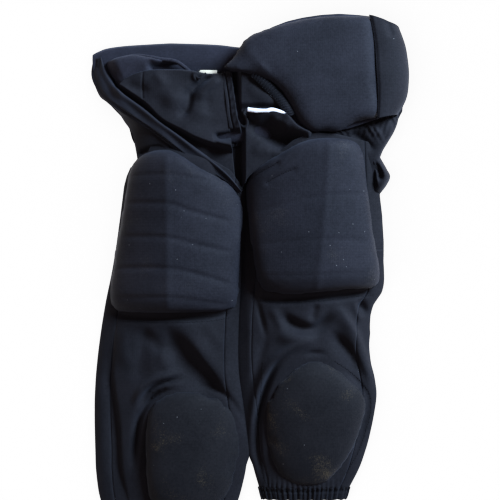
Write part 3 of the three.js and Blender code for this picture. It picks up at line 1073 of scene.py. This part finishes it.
class PANTS_OT_thigh_pads(bpy.types.Operator):
    """Thigh pads in their pockets, with a soft ridge down the middle and foam channels"""

    bl_idname = "pants.thigh_pads"
    bl_label = "Thigh pads"

    def execute(self, context):
        pads = context.scene.pants_pads
        ridges = {"right": [(-110, 166), (-108, 60), (-107, -66)], "left": [(104, 182), (98, 90), (86, -40)]}
        tilt = {"right": (0.11, 0.14), "left": (0.08, 0.05)}  # slopes west and east of the ridge
        channels = {"right": RIGHT_CHANNELS, "left": LEFT_CHANNELS}
        for name in SIDES:
            leg = LEGS[name]
            under = leg.front
            node_name = f"{name}_thigh_pad_cover"
            planes = tent(ridges[name], *tilt[name])
            foot = {"right": -57.0, "left": -30.0}[name]
            gable = lambda x, y: planes(x, y) + 5.0 - 6.0 * smoothstep((foot + 30 - y) / 30)
            centre, outline = PAD_EDGES[f"{name}_thigh"]
            piece = pad_shape(
                f"{name}_thigh_pad_pocket", outline, under, pads.thigh_foam, 1.0, 16, gable,
                MATERIALS["pad_pocket_knit"], grow=0.5, centre=centre, spokes=150, rings=30, sink=SINK,
            )
            puff(piece, pads.swell)
            reliefs = [fold(line, -1.6 * depth, 2.2, 5.0, taper=0.12) for line, depth in channels[name]]
            reliefs.append(fold(ridges[name], 0.9, 5, taper=0.1))
            carve(piece, total(*reliefs), under)
            fit(piece, f"{name}_thigh", [node_name, f"{name}_thigh_pad"])
        return {"FINISHED"}


class PANTS_OT_leg_stitches(bpy.types.Operator):
    """Thread along the pockets' edges and the panel seams of the legs"""

    bl_idname = "pants.leg_stitches"
    bl_label = "Leg stitches"

    def execute(self, context):
        rows = {
            ("left", "thigh"): [[(10, -38), (40, -41), (96, -38), (130, -34), (168, -30)],
                                [(0, 121), (13, 131), (29, 139), (38, 145)],
                                [(21, 117), (39, 127), (58, 135)]],
            ("right", "thigh"): [[(-176, -66), (-150, -66), (-109, -67), (-53, -65), (-24, -60)]],
            ("left", "shin"): [[(112, -118), (136, -135), (157, -158), (161, -182), (154, -212), (143, -242),
                                (126, -270)],
                               [(17, -120), (14, -165), (11, -215), (16, -262), (22, -284)]],
            ("right", "shin"): [[(-181, -130), (-180, -160), (-173, -200), (-169, -262), (-161, -300),
                                 (-156, -324)]],
        }
        for (side, half), lines in rows.items():
            parts = [o for o in bpy.data.objects if o.name.startswith(f"{side}_")
                     and o.name.endswith(("_cloth", "_pocket"))
                     and ("thigh" in o.name or "shin" in o.name)]
            thread = stitches(f"{side}_{half}_stitches", parts, lines, MATERIALS["thread"], pitch=3.2,
                              length=2.2,
                              radius=0.32, zigzag=0.5)
            hip, knee = JOINTS[f"{side}_hip_fold"], JOINTS[f"{side}_knee_fold"]
            if half == "thigh" and side == "left":
                fit(thread, f"{side}_thigh")
            elif half == "thigh":
                fit(thread, None, (), across_knee(side, knee))
            else:
                fit(thread, f"{side}_shin")
        return {"FINISHED"}


class PANTS_OT_knee_pads(bpy.types.Operator):
    """Oval knee pads in scuffed pockets"""

    bl_idname = "pants.knee_pads"
    bl_label = "Knee pads"

    def execute(self, context):
        pads = context.scene.pants_pads
        for name in SIDES:
            leg = LEGS[name]
            under = leg.front
            node_name = f"{name}_knee_pad_cover"
            tilt = (
                (lambda x, y: -0.10 * (x + 74)) if name == "right"
                else (lambda x, y: 0.04 * (x - 84) + 0.02 * (y + 206))
            )
            centre, outline = PAD_EDGES[f"{name}_knee"]
            piece = pad_shape(
                f"{name}_knee_pad_pocket", outline, under, pads.knee_foam - 6.0, 7.5, 7, tilt,
                MATERIALS["knee_pocket_knit"], grow=1.5, centre=centre, spokes=130, sink=SINK,
            )
            puff(piece, pads.swell)
            fit(piece, f"{name}_shin", [node_name, f"{name}_knee_pad"])
        return {"FINISHED"}


# ---------------------------------------------------------------- waist
# Curves of the waist, in millimetres of the frame. The right hip is at low x.
A_TOP = [(-170, 250), (-164, 256), (-149, 263), (-130, 267), (-96, 267.5), (-77, 266), (-58, 263), (-34, 263)]
A_FOOT = [(-178, 247), (-166, 240), (-139, 221), (-118, 200), (-94, 187), (-73, 176), (-50, 168), (-23, 161)]
BAND_FOOT = [(-209, 284), (-211, 262), (-204, 244), (-190, 226), (-176, 215), (-164, 207), (-152, 199),
             (-130, 185), (-109, 169), (-94, 157), (-77, 143), (-58, 132), (-35, 119), (-14, 103)]
BAND_CREST = [(-197, 285), (-191, 268), (-181, 250), (-174, 242), (-164, 233), (-139, 215), (-118, 198),
              (-96, 182), (-73, 165), (-50, 148), (-27, 127), (-11, 107)]
SIDE_EDGE = [(-150, 150), (-154, 172), (-159, 188), (-167, 200), (-176, 213), (-190, 226), (-200, 234),
             (-207, 249), (-210.5, 262), (-208.5, 284)]
FLY_WEST = [(-25, 166), (-25, 176), (-27, 190), (-30, 207), (-32, 228), (-35, 248), (-37, 265)]
FLY_EAST = [(-11, 168), (-9, 180), (-11, 194), (-15, 206), (-17, 222), (-20, 241), (-24, 264)]
C_CREST = [(-4, 213), (10, 212.5), (24, 212), (36, 211), (47, 208), (53, 201), (61, 192.5), (72, 186),
           (86, 180)]
PAD_RIDGE = [(-12, 303), (-2, 291), (8, 279), (22, 259), (37, 243), (50, 227), (57, 213), (63, 202),
             (70, 190)]
HIP_PAD_EDGE = [(-40, 269), (-28, 280), (-18, 294), (-10.5, 305), (-1, 313), (16, 320), (40, 328), (60, 333),
                (80, 337), (112, 339), (140, 338.5), (160, 337), (165, 318), (167.5, 296), (169.5, 266),
                (171, 242), (172, 207), (160, 199.5), (148, 197), (138, 193), (128, 187.5), (115, 182),
                (98, 182.5), (85, 181), (69, 190), (62, 198), (52, 212), (44, 230), (29, 246), (12, 254),
                (-8, 261)]
TONGUE_EDGE = [(-193, 278), (-180, 285), (-166, 288.5), (-152, 289.5), (-133, 286), (-118, 283),
               (-104, 282.5), (-94, 279), (-84, 272), (-75, 263), (-80, 245), (-95, 222), (-120, 214),
               (-150, 226), (-172, 243), (-184, 258)]


def bump(cx, cy, radius, height):
    return lambda x, y: height * np.exp(-(((x - cx) ** 2 + (y - cy) ** 2) / radius**2))


RIGHT_FRONT = total(
    step(A_FOOT, 12.0, 4.0),
    fold([(-150, 226), (-118, 206), (-94, 193), (-60, 180), (-30, 172)], 2.0, 12),
    # the round bulge of the elbow-like fold, and the hollow that runs round its lower right
    bump(-104, 229, 14, 7.0),
    fold([(-88, 246), (-82, 236), (-80, 224), (-86, 211), (-98, 206)], -6.0, 5, 8),
    bump(-122, 252, 17, 3.0),
    bump(-66, 212, 13, 3.0),
    # creases that gather below the top corner by the fly
    fold([(-42, 262), (-52, 259), (-64, 251), (-75, 240), (-80, 226)], -9.0, 4.5, 6.5, taper=0.35),
    fold([(-70, 266), (-74, 260), (-72, 254), (-66, 252)], 3.0, 2.5, taper=0.2),
    fold([(-34, 258), (-46, 250), (-60, 238), (-70, 222)], 5.0, 5.0, 10),
    fold([(-60, 232), (-56, 220), (-58, 206)], -1.5, 7),
    fold([(-128, 264), (-118, 254), (-112, 242)], 2.0, 6),
    fold([(-48, 175), (-38, 171), (-27, 168), (-16, 166)], 6.0, 3.0, 3.5, taper=0.3),
    fold([(-50, 180), (-38, 180), (-26, 182), (-14, 184)], -15.0, 3.0, 6.0, taper=0.3),
    fold([(-141, 266), (-142, 246), (-141, 226)], -1.3, 1.4, taper=0.1),
    fold([(-168, 250), (-150, 242), (-130, 238)], -2.5, 7),
)


class PANTS_OT_seat(bpy.types.Operator):
    """Seat cloth, gusset, back waistband, tail pad and blank care label, lying at the back"""

    bl_idname = "pants.seat"
    bl_label = "Seat and back"

    def execute(self, context):
        shell, lining = MATERIALS["shell_knit"], MATERIALS["lining"]
        left = between([(-26, 150), (4, 150), (36, 156), (68, 178), (102, 181), (138, 175), (176, 168),
                        (203, 214)],
                       [(-26, 268), (4, 268), (36, 268), (68, 268), (102, 268), (138, 267), (180, 264),
                        (208, 262)])
        right = between([(-205, 252), (-187, 224), (-164, 198), (-151, 168), (-110, 150), (-66, 150),
                         (-22, 150)],
                        [(-206, 266), (-190, 268), (-165, 268), (-150, 268), (-110, 268), (-66, 268),
                         (-22, 268)])
        places = {"right": right, "left": left}
        for side, place in places.items():
            piece = cloth(f"{side}_seat_cloth", place, lambda x, y, u, v: 2.4 + rumple(x, y, 0.4), 70, 40,
                          shell)
            fit(piece, "pelvis", [f"{side}_seat_panel"])
        gusset_place = between([(-26, 84), (12, 84)], [(-50, 172), (30, 172)])
        gusset = cloth("crotch_gusset_cloth", gusset_place, lambda x, y, u, v: 4.4 + 0 * x, 24, 32, shell)
        fit(gusset, "pelvis", ["crotch_gusset"])
        top = [(-209.5, 289), (-202, 293), (-189, 297.5), (-161, 301), (-118, 303.5), (-96, 304), (-43, 302),
               (0, 298), (102, 297), (180, 292), (207, 284)]
        foot = [(-209, 253), (-188, 254), (-161, 259), (-118, 263), (-96, 265), (-43, 265), (0, 265),
                (102, 265), (180, 260), (208, 257)]
        back = cloth(
            "back_waist_elastic", between(foot, top),
            lambda x, y, u, v: 5.0 + 4.0 * v - 3.0 * np.exp(-((1 - v) / 0.05)) + rumple(x, y, 0.5, 40)
            + 3.0 * np.exp(-(((v - 0.35) / 0.4) ** 2)) * np.sin(math.pi * u),
            160, 30, MATERIALS["elastic_lining"], 2.0,
        )
        fit(back, "pelvis", ["back_waistband"])
        label = cloth(
            "care_label_satin", plan_of("care_label", 0, (0, -2.5)),
            lambda x, y, u, v: 12.5 + 1.5 * v + 0.8 * np.sin(5 * u), 20, 14, MATERIALS["label_satin"], 0.5,
        )
        fit(label, "pelvis", ["care_label"])
        flat = lambda x, y: 3.0 + 0 * x
        still = lambda x, y: 0 * x
        tail = pad_shape("tail_pad_pocket", "tail_pad_cover", flat, 8.0, 1.5, 6, still, lining)
        puff(tail, 1.5, hold_below=flat)
        fit(tail, "pelvis", ["tail_pad_cover", "tail_pad"])
        return {"FINISHED"}


class PANTS_OT_right_waist(bpy.types.Operator):
    """Right hip pad, front, groin band, side and fly"""

    bl_idname = "pants.right_waist"
    bl_label = "Right waist"

    def execute(self, context):
        shell = MATERIALS["shell_knit"]
        self.hip_pad()

        def surface(x, y):
            turn = 0.08 * np.clip(x + 84, 0, 60) * smoothstep((y - 165) / 30)
            return 13.0 + RIGHT_FRONT(x, y) - turn + rumple(x, y, 0.7, 26)

        def front_height(x, y, u, v):
            rolled = 5.0 * (1 - np.sqrt(1 - np.clip((v - 0.97) / 0.03, 0, 0.98) ** 2))
            return surface(x, y) - rolled

        foot = [(-184, 236), (-164, 224), (-139, 206), (-118, 189), (-96, 173), (-73, 156), (-50, 139),
                (-18, 108)]
        front = cloth("right_front_cloth", between(foot, A_TOP), front_height, 130, 110, shell)
        fit(front, "pelvis", ["front_rise_panel"])
        band = cloth(
            "right_front_elastic", between([(x, y - 15) for x, y in A_TOP], [(x, y - 2) for x, y in A_TOP]),
            lambda x, y, u, v: surface(x, y) - 2.6 - 3.0 * smoothstep((v - 0.7) / 0.3),
            120, 22, MATERIALS["elastic_lining"], 1.8,
        )
        fit(band, "pelvis", ["right_front_waistband"])

        inner = [(-96, 148), (-110, 172), (-124, 186), (-140, 196), (-156, 208), (-172, 222), (-184, 240),
                 (-192, 256), (-197, 268), (-198, 284)]
        side = cloth(
            "right_hip_side_cloth", beside(SIDE_EDGE, inner),
            lambda x, y, u, v: 3.0
            + (17.0 - 9.0 * smoothstep((y - 215) / 50)) * np.sin(math.pi / 2 * u) ** 0.8
            + rumple(x, y, 0.6, 26) * np.sin(math.pi * u)
            + fold([(-154, 155), (-136, 162), (-112, 165)], -8, 3.0)(x, y),
            44, 90, shell,
        )
        fit(side, "pelvis", ["right_hip_side_panel"])

        def band_height(x, y, u, v):
            level = 9.0 + 16.0 * smoothstep(u / 0.34) - 3.0 * smoothstep((u - 0.8) / 0.2)
            crest = 3.0 * np.exp(-(((v - 0.86) / 0.2) ** 2)) - 6.0 * smoothstep((v - 0.9) / 0.1)
            drop = (
                -3.0 * (1 - smoothstep(v / 0.25)) * smoothstep(u / 0.3)
                - 5.0 * (1 - smoothstep(v / 0.5)) * (1 - smoothstep(u / 0.3))
            )
            groove = -1.1 * np.exp(-(((v - 0.17) / 0.05) ** 2)) * smoothstep(u / 0.3)
            return level + crest + drop + groove + 0.35 * np.sin(7 * v + 30 * u)

        groin = cloth("right_groin_elastic", between(BAND_FOOT, BAND_CREST), band_height, 220, 34,
                      MATERIALS["elastic_smooth"], 2.0)
        fit(groin, "pelvis", ["right_groin_band"])
        lines = []
        for offset in (0.1, 0.24):
            foot_line, crest_line = (
                at_shares(BAND_FOOT, np.linspace(0.36, 0.9, 14)),
                at_shares(BAND_CREST, np.linspace(0.36, 0.9, 14))
            )
            lines.append([tuple(p) for p in foot_line + (crest_line - foot_line) * offset])
        thread = stitches("right_groin_stitches", [groin], lines, MATERIALS["thread"])
        fit(thread, "pelvis")

        def fly_height(x, y, u, v):
            lip = 21.6 + 3.6 * u**2 - 14.0 * smoothstep((u - 0.82) / 0.18)
            wrinkle = (
                0.9 * np.sin(2 * math.pi * (y - 0.9 * x) / 13 + np.sin(y / 7)) * smoothstep((u - 0.3) / 0.5)
            )
            seam = -2.2 * np.exp(-(((u - 0.3) / 0.06) ** 2))
            sway = 1.8 * np.sin((y - 170) / 15.0)
            fall = 15.0 * (1 - smoothstep((y - 181) / 10))
            return np.maximum(lip - fall + wrinkle + seam + sway * u, 3.0)

        fly = cloth("fly_placket_cloth", beside(FLY_WEST, FLY_EAST), fly_height, 30, 100, shell)
        fit(fly, "pelvis", ["fly_placket"])
        curl = [(-14, 197, 17), (-12, 194, 19), (-8.5, 191.5, 20.5), (-5, 193, 21.5), (-3.5, 198, 22.5),
                (-5.5, 204, 23), (-8, 209, 22), (-5.5, 214, 21), (-2, 214, 20)]
        turned = tube_along("fly_turned_edge", [smooth_path(curl, 40)], 1.7, shell, 10)
        fit(turned, "pelvis")
        hook = [(-67, 267, 20), (-71, 262, 23), (-70.5, 257, 24.5), (-66, 255.5, 25), (-62, 259, 25),
                (-58, 262, 24)]
        rolled = tube_along("front_turned_edge", [smooth_path(hook, 30)], 1.5, shell, 10)
        fit(rolled, "pelvis")
        return {"FINISHED"}

    def hip_pad(self):
        base = lambda x, y: 3.2 + 0 * x
        still = lambda x, y: 0 * x
        piece = pad_shape(
            "right_hip_pad_pocket", TONGUE_EDGE, base, 13.5, 0.5, 10, still, MATERIALS["lining"],
            centre=(-132, 252), spokes=140, rings=34,
        )
        puff(piece, 1.2, voxel=4.0, hold_below=base)
        crests = (
            fold([(-192, 270), (-180, 279), (-166, 283.5), (-150, 285), (-128, 281), (-112, 279)], 8.0, 5,
                 20, taper=0.25),
            fold([(-136, 281), (-118, 279.5), (-104, 279), (-95, 276), (-84, 268), (-78, 262)], 6.0, 4, 4.5,
                 taper=0.2),
        )
        hollow = fold([(-137, 268), (-121, 271.5), (-106, 273), (-92, 271), (-80, 264)], -17.0, 5.5, 9,
                      taper=0.16)
        carve(piece, total(*crests, hollow), base)
        fit(piece, "pelvis", ["right_hip_pad_cover", "right_hip_pad"])
        roll = [(-160, 286, 13), (-148, 286.5, 14.5), (-133, 284.5, 16), (-118, 281.5, 17), (-104, 280, 17.5),
                (-95, 277, 17), (-85, 270, 15), (-77, 263, 12)]
        edge = tube_along("right_hip_pad_rolled_edge", [smooth_path(roll, 50)], 2.6, MATERIALS["lining"], 12)
        fit(edge, "pelvis")


class PANTS_OT_left_waist(bpy.types.Operator):
    """Left front with its turned-down top, elastic, tab, gathers and the folded hip pad"""

    bl_idname = "pants.left_waist"
    bl_label = "Left waist"

    def execute(self, context):
        shell = MATERIALS["shell_knit"]
        relief = total(
            fold(C_CREST, 11.0, 3.0, 12, taper=0.1),
            fold([(8, 198), (22, 184), (42, 172), (62, 171), (80, 178)], -14.0, 9, 9, taper=0.2),
            fold([(0, 205), (6, 194), (16, 182)], -6.0, 6, 9),
            fold([(24, 203), (40, 198), (54, 187)], 3.5, 6),
            fold([(20, 156), (44, 159), (62, 164)], 2.5, 6),
            fold([(4, 168), (14, 160), (30, 158)], 2.0, 8),
            fold([(-4, 250), (8, 236), (30, 222)], 1.5, 9),
        )

        def front_height(x, y, u, v):
            west = smoothstep((x + 13 + 6 * smoothstep((y - 195) / 20)) / 8)
            plane = 20.0 + 3.0 * smoothstep((x + 5) / 60) + 1.0 * (1 - smoothstep((y - 125) / 45))
            plane = plane + 7.0 * smoothstep((y - 214) / 10)
            return (plane + relief(x, y)) * (0.18 + 0.82 * west) + rumple(x, y, 0.5, 24)

        foot = [(-17, 98), (-6, 120), (8, 134), (28, 143), (50, 154), (68, 166), (88, 174)]
        top = [(-22, 272), (-8, 271), (8, 265), (26, 250), (42, 234), (57, 213), (90, 184)]
        front = cloth("left_front_cloth", between(foot, top), front_height, 110, 150, shell)
        fit(front, "pelvis", ["left_front_panel"])

        ribs = lambda x, y, u, v: (
            30.5 + 1.0 * u + 2.0 * np.sin(math.pi * v)
            + 0.8 * np.sin(2 * math.pi * u * 20) * np.sin(math.pi * v)
            + 1.0 * np.sin(9 * u)
        )
        strip = cloth(
            "left_front_elastic",
            between([(0, 257), (14, 244), (27, 231), (38, 218), (48, 204)],
                    [(9, 266), (24, 253), (38, 239), (49, 224), (59, 208)]),
            ribs, 180, 14, MATERIALS["elastic"], 1.8,
        )
        fit(strip, "pelvis", ["left_front_waistband"])

        tab = cloth(
            "waistband_tab_tape",
            between([(-3.5, 210.5), (8, 209), (20, 209.5), (32, 209), (46, 206)],
                    [(-3, 216), (8, 214.5), (20, 214), (30, 215.5), (47, 210)]),
            lambda x, y, u, v: 33.5 - 1.5 * u + 1.2 * np.sin(math.pi * v) + 0.6 * np.sin(7 * u), 60, 10,
            MATERIALS["tape_white"], 0.8,
        )
        fit(tab, "pelvis", ["waistband_tab"])
        self.gathers(shell)
        self.hip_pad()
        return {"FINISHED"}

    def gathers(self, shell):
        def height(x, y, u, v):
            pleat = (np.sin(2 * math.pi * (x + 0.5 * y) / 12.5 + 2.4 * np.sin(x / 7 + y / 9))
                     + 0.7 * np.sin(2 * math.pi * (x - 0.7 * y) / 8.3 + 2.0 * np.sin(y / 6)) * np.sin(x / 5))
            pinched = smoothstep((v - 0.45) / 0.4) * smoothstep(u / 0.15)
            roll = np.sqrt(np.clip(1 - np.clip((u - 0.72) / 0.28, 0, 1) ** 2, 0, 1))
            fall = total(fold([(128, 186), (142, 180), (156, 170), (168, 158)], -4.0, 5),
                         fold([(150, 196), (166, 186), (180, 180)], 2.5, 6))(x, y)
            return (
                (7.0 + 15.0 * v * (1 - 0.3 * u) + 4.0 * (1 - v)) * (0.3 + 0.7 * roll)
                + (1.0 * pleat * pinched + fall) * roll
                - 6.0 * smoothstep((v - 0.72) / 0.28) * roll * smoothstep(u / 0.1)
            )

        low = [(104, 166), (126, 160), (146, 146), (160, 130), (172, 118), (181, 118)]
        high = [(108, 188), (130, 194), (150, 203), (170, 209), (186, 213), (198.5, 215)]
        edge = [(181, 118), (183.5, 134), (173, 147), (176, 162), (184, 175), (192, 186), (197, 202),
                (198.5, 215)]

        def place(u, v):
            x, y = between(low, high)(u, v)
            rim_x = at_shares(edge, v)[..., 0]
            return x + (rim_x - between(low, high)(np.ones_like(u), v)[0]) * u**2, y

        piece = cloth("left_side_gathers", place, height, 130, 70, shell)
        fit(piece, "pelvis", ["left_side_gather"])
        self.ear(shell)

    def ear(self, shell):
        """The pinched tuck of cloth that stands out beside the left thigh pad."""
        west = [(158, 104), (161, 118), (162, 132), (160, 146), (156, 158)]
        east = [(173, 104), (182, 116), (186.5, 127), (182, 137), (170, 158)]

        def height(x, y, u, v):
            body = 5.0 + 15.0 * np.sin(math.pi * np.clip(u, 0, 1) ** 1.3) ** 0.7 * np.sin(math.pi * v) ** 0.6
            lip = fold([(159, 155), (166, 140), (168, 124), (170, 110)], 3.0, 2.2)(x, y)
            hollow = fold([(164, 146), (172, 132), (173, 118)], -6.0, 3.5)(x, y)
            return body + lip + hollow

        piece = cloth("left_side_tuck", beside(west, east), height, 40, 60, shell)
        across = ("pelvis", "left_thigh", (0, 178, 0), (0, 108, 0))
        fit(piece, "pelvis", (), across)

    def hip_pad(self):
        base = lambda x, y: 24.0 + 0 * x
        pads = bpy.context.scene.pants_pads
        slope = step(PAD_RIDGE, 12.0, 6.5)
        shape = total(
            lambda x, y: 12.0 - (12.0 - slope(x, y)) * (0.22 + 0.78 * smoothstep((258 - y) / 36)),
            fold(PAD_RIDGE, 3.0, 4, 8, taper=0.1),
            fold([(-2, 298), (8, 286), (20, 270), (34, 254)], -1.4, 5),
            fold([(10, 318), (50, 314), (90, 320)], 0.6, 14),
        )
        relief = lambda x, y: shape(x, y) - 12.0
        piece = pad_shape(
            "left_hip_pad_pocket", HIP_PAD_EDGE, base, pads.hip_foam, 2.0, 18, relief,
            MATERIALS["hip_pocket_knit"],
            centre=(86, 262), spokes=160, rings=34,
        )
        puff(piece, 2.0, voxel=4.5, hold_below=base)
        fit(piece, "left_hip_wing", ["left_hip_pad_cover", "left_hip_pad"])
        backing = cloth("left_hip_backing_cloth", plan_of("left_hip_pad_backing", 0, (1, -1)),
                        lambda x, y, u, v: 24.0 + 0 * x,
                        60, 44, MATERIALS["lining"], 1.2)
        fit(backing, "left_hip_wing", ["left_hip_pad_backing"])

        seam = [(166, 201), (167, 222), (166.5, 242), (165, 266), (163, 296), (160, 318), (156, 336.5)]
        edge = [(196, 208), (203, 219), (209.5, 236), (211.5, 262), (209.5, 284), (206, 302), (198, 324)]
        back = [(180, 206), (182, 219), (184, 236), (184, 262), (184, 284), (182, 302), (178, 322)]
        over, under = beside(seam, edge), beside(edge, back)
        turn = 0.76  # share of the cloth's width that lies on the front

        def place(u, v):
            front, rear = over(np.clip(u / turn, 0, 1), v), under(np.clip((u - turn) / (1 - turn), 0, 1), v)
            return tuple(np.where(u < turn, f, r) for f, r in zip(front, rear))

        def height(x, y, u, v):
            across = np.clip(u / turn, 0, 1)
            front = (
                7.0 + 31.0 * np.sqrt(np.clip(1 - across**2.6, 0, 1)) - 2.0 * (1 - smoothstep(across / 0.12))
            )
            folds = fold([(180, 334), (184, 318), (188, 306)], -3.5, 5)(x, y) + rumple(x, y, 0.5, 30)
            rear = 7.0 - 4.6 * smoothstep((u - turn) / (0.4 * (1 - turn)))
            return np.where(u < turn, front + folds * (1 - across**4), rear)

        side = cloth("left_hip_side_cloth", place, height, 60, 110, MATERIALS["shell_knit"])
        fit(side, "left_hip_wing", ["left_hip_side_panel"],
            ("pelvis", "left_hip_wing", (205, 265, 7), (198, 265, 34)))
        lines = [[(x + d, y) for x, y in seam] for d in (0.2, 2.2)]
        thread = stitches("left_hip_seam_stitches", [piece], lines, MATERIALS["thread"])
        fit(thread, "left_hip_wing")


# ---------------------------------------------------------------- stage
class PANTS_OT_stage(bpy.types.Operator):
    """Pale floor, soft daylight from the wearer's left and the camera straight above"""

    bl_idname = "pants.stage"
    bl_label = "Stage"

    def execute(self, context):
        scene = context.scene
        settings = scene.pants_stage
        scene.view_settings.view_transform = "Standard"
        low, high = CAD_BOX
        middle = (low + high) / 2

        mesh = bpy.data.meshes.new("floor")
        reach = 4.0
        mesh.from_pydata([(-reach, -reach, 0), (reach, -reach, 0), (reach, reach, 0), (-reach, reach, 0)],
                         [], [(0, 1, 2, 3)])
        made, tree, place = new_material("matt_white_floor")
        grain = node(tree, "ShaderNodeTexNoise", [(place, "Vector")], Scale=3.0, Detail=2.0)
        tone = node(tree, "ShaderNodeMapRange", [(grain.outputs["Fac"], "Value")])
        tone.inputs["To Min"].default_value = 0.9
        tone.inputs["To Max"].default_value = 0.94
        shader = node(tree, "ShaderNodeBsdfPrincipled", [(tone.outputs["Result"], "Base Color")],
                      Roughness=0.9)
        finish_material(tree, shader)
        floor = link(mesh, "floor", made)
        # The floor only takes the shadow, so that a shin folded back below it still shows.
        floor.is_shadow_catcher = True

        # The room is seen white, and lights the cloth much less than the window does.
        world = bpy.data.worlds.new("pale_room")
        scene.world = world
        world.use_nodes = True
        tree = world.node_tree
        background = tree.nodes["Background"]
        ray = tree.nodes.new("ShaderNodeLightPath")
        strength = node(tree, "ShaderNodeMapRange", [(ray.outputs["Is Camera Ray"], "Value")])
        strength.inputs["To Min"].default_value = settings.room_light
        tree.links.new(strength.outputs["Result"], background.inputs["Strength"])
        tint = node(tree, "ShaderNodeMix", [(ray.outputs["Is Camera Ray"], "Factor")], data_type="RGBA")
        tint.inputs[6].default_value = (1.0, 0.84, 0.96, 1)
        tint.inputs[7].default_value = (1, 1, 1, 1)
        tree.links.new(tint.outputs[2], background.inputs["Color"])

        window = self.lamp(scene, "window", middle, (1.32, 1.08, 0.98), 0.8, settings.window_light,
                           (0.58, 0.75, 1.0))
        ceiling = self.lamp(scene, "ceiling", middle, (0, 0, 2.6), 0.3, 120, (1, 1, 1))
        self.lamp(scene, "room", middle, (-1.6, -0.5, 1.1), 1.6, 3, (1.0, 0.88, 0.74))
        # The window's long shadow would leave the pale floor grey, so the floor is left out of its light.
        unlit = bpy.data.collections.new("not_lit_by_window")
        unlit.objects.link(floor)
        window.light_linking.receiver_collection = unlit
        unlit.collection_objects[0].light_linking.link_state = "EXCLUDE"
        # A lamp straight above that lights only the floor keeps it pale right up to the cloth.
        lit = bpy.data.collections.new("lit_by_ceiling")
        lit.objects.link(floor)
        ceiling.light_linking.receiver_collection = lit

        camera = bpy.data.cameras.new("camera")
        camera.lens = 85
        camera.sensor_width = 36
        stand = bpy.data.objects.new("camera", camera)
        scene.collection.objects.link(stand)
        stand.location = (middle.x, middle.y + 0.029, settings.camera_height)
        scene.camera = stand
        return {"FINISHED"}

    def lamp(self, scene, name, aim, place, size, power, colour):
        light = bpy.data.lights.new(name, "AREA")
        light.shape = "DISK"
        light.size = size
        light.energy = power
        light.color = colour
        stand = bpy.data.objects.new(name, light)
        scene.collection.objects.link(stand)
        stand.location = place
        stand.rotation_mode = "QUATERNION"
        stand.rotation_quaternion = (aim - stand.location).to_track_quat("-Z", "Y")
        return stand


# ---------------------------------------------------------------- panel and registration
STEPS = ["stage", "seat", "legs", "hems", "thigh_pads", "knee_pads", "leg_stitches", "right_waist",
         "left_waist"]


class PANTS_PT_steps(bpy.types.Panel):
    """Lists the steps that build the pants"""

    bl_idname = "PANTS_PT_steps"
    bl_label = "Hockey Pants"
    bl_space_type = "VIEW_3D"
    bl_region_type = "UI"
    bl_category = "Hockey Pants"

    def draw(self, context):
        for settings in (context.scene.pants_cloth, context.scene.pants_pads, context.scene.pants_stage):
            box = self.layout.box()
            for key in settings.__annotations__:
                box.prop(settings, key)
        for name in STEPS:
            self.layout.operator(f"pants.{name}")


CLASSES = [
    PANTS_PG_cloth, PANTS_PG_pads, PANTS_PG_stage, PANTS_OT_stage, PANTS_OT_legs, PANTS_OT_hems,
    PANTS_OT_thigh_pads, PANTS_OT_knee_pads, PANTS_OT_leg_stitches, PANTS_OT_seat, PANTS_OT_right_waist,
    PANTS_OT_left_waist, PANTS_PT_steps,
]


def register():
    for made in CLASSES:
        bpy.utils.register_class(made)
    bpy.types.Scene.pants_cloth = bpy.props.PointerProperty(type=PANTS_PG_cloth)
    bpy.types.Scene.pants_pads = bpy.props.PointerProperty(type=PANTS_PG_pads)
    bpy.types.Scene.pants_stage = bpy.props.PointerProperty(type=PANTS_PG_stage)


def unregister():
    for name in ("pants_cloth", "pants_pads", "pants_stage"):
        delattr(bpy.types.Scene, name)
    for made in reversed(CLASSES):
        bpy.utils.unregister_class(made)


JOINTS = {j["name"]: [c / MM for c in j["pos_m"]] for j in frame["joints"]}


def main():
    global MATERIALS, LEGS, LEG_TOPS
    register()
    MATERIALS = make_materials()
    LEGS = {name: Leg(name) for name in SIDES}
    close_inner_gap(LEGS["right"], LEGS["left"])
    LEG_TOPS = {"right": leg_height(LEGS["right"], RIGHT_FOLDS), "left": leg_height(LEGS["left"], LEFT_FOLDS)}
    for name in STEPS:
        getattr(bpy.ops.pants, name)()


if __name__ == "__main__":
    main()
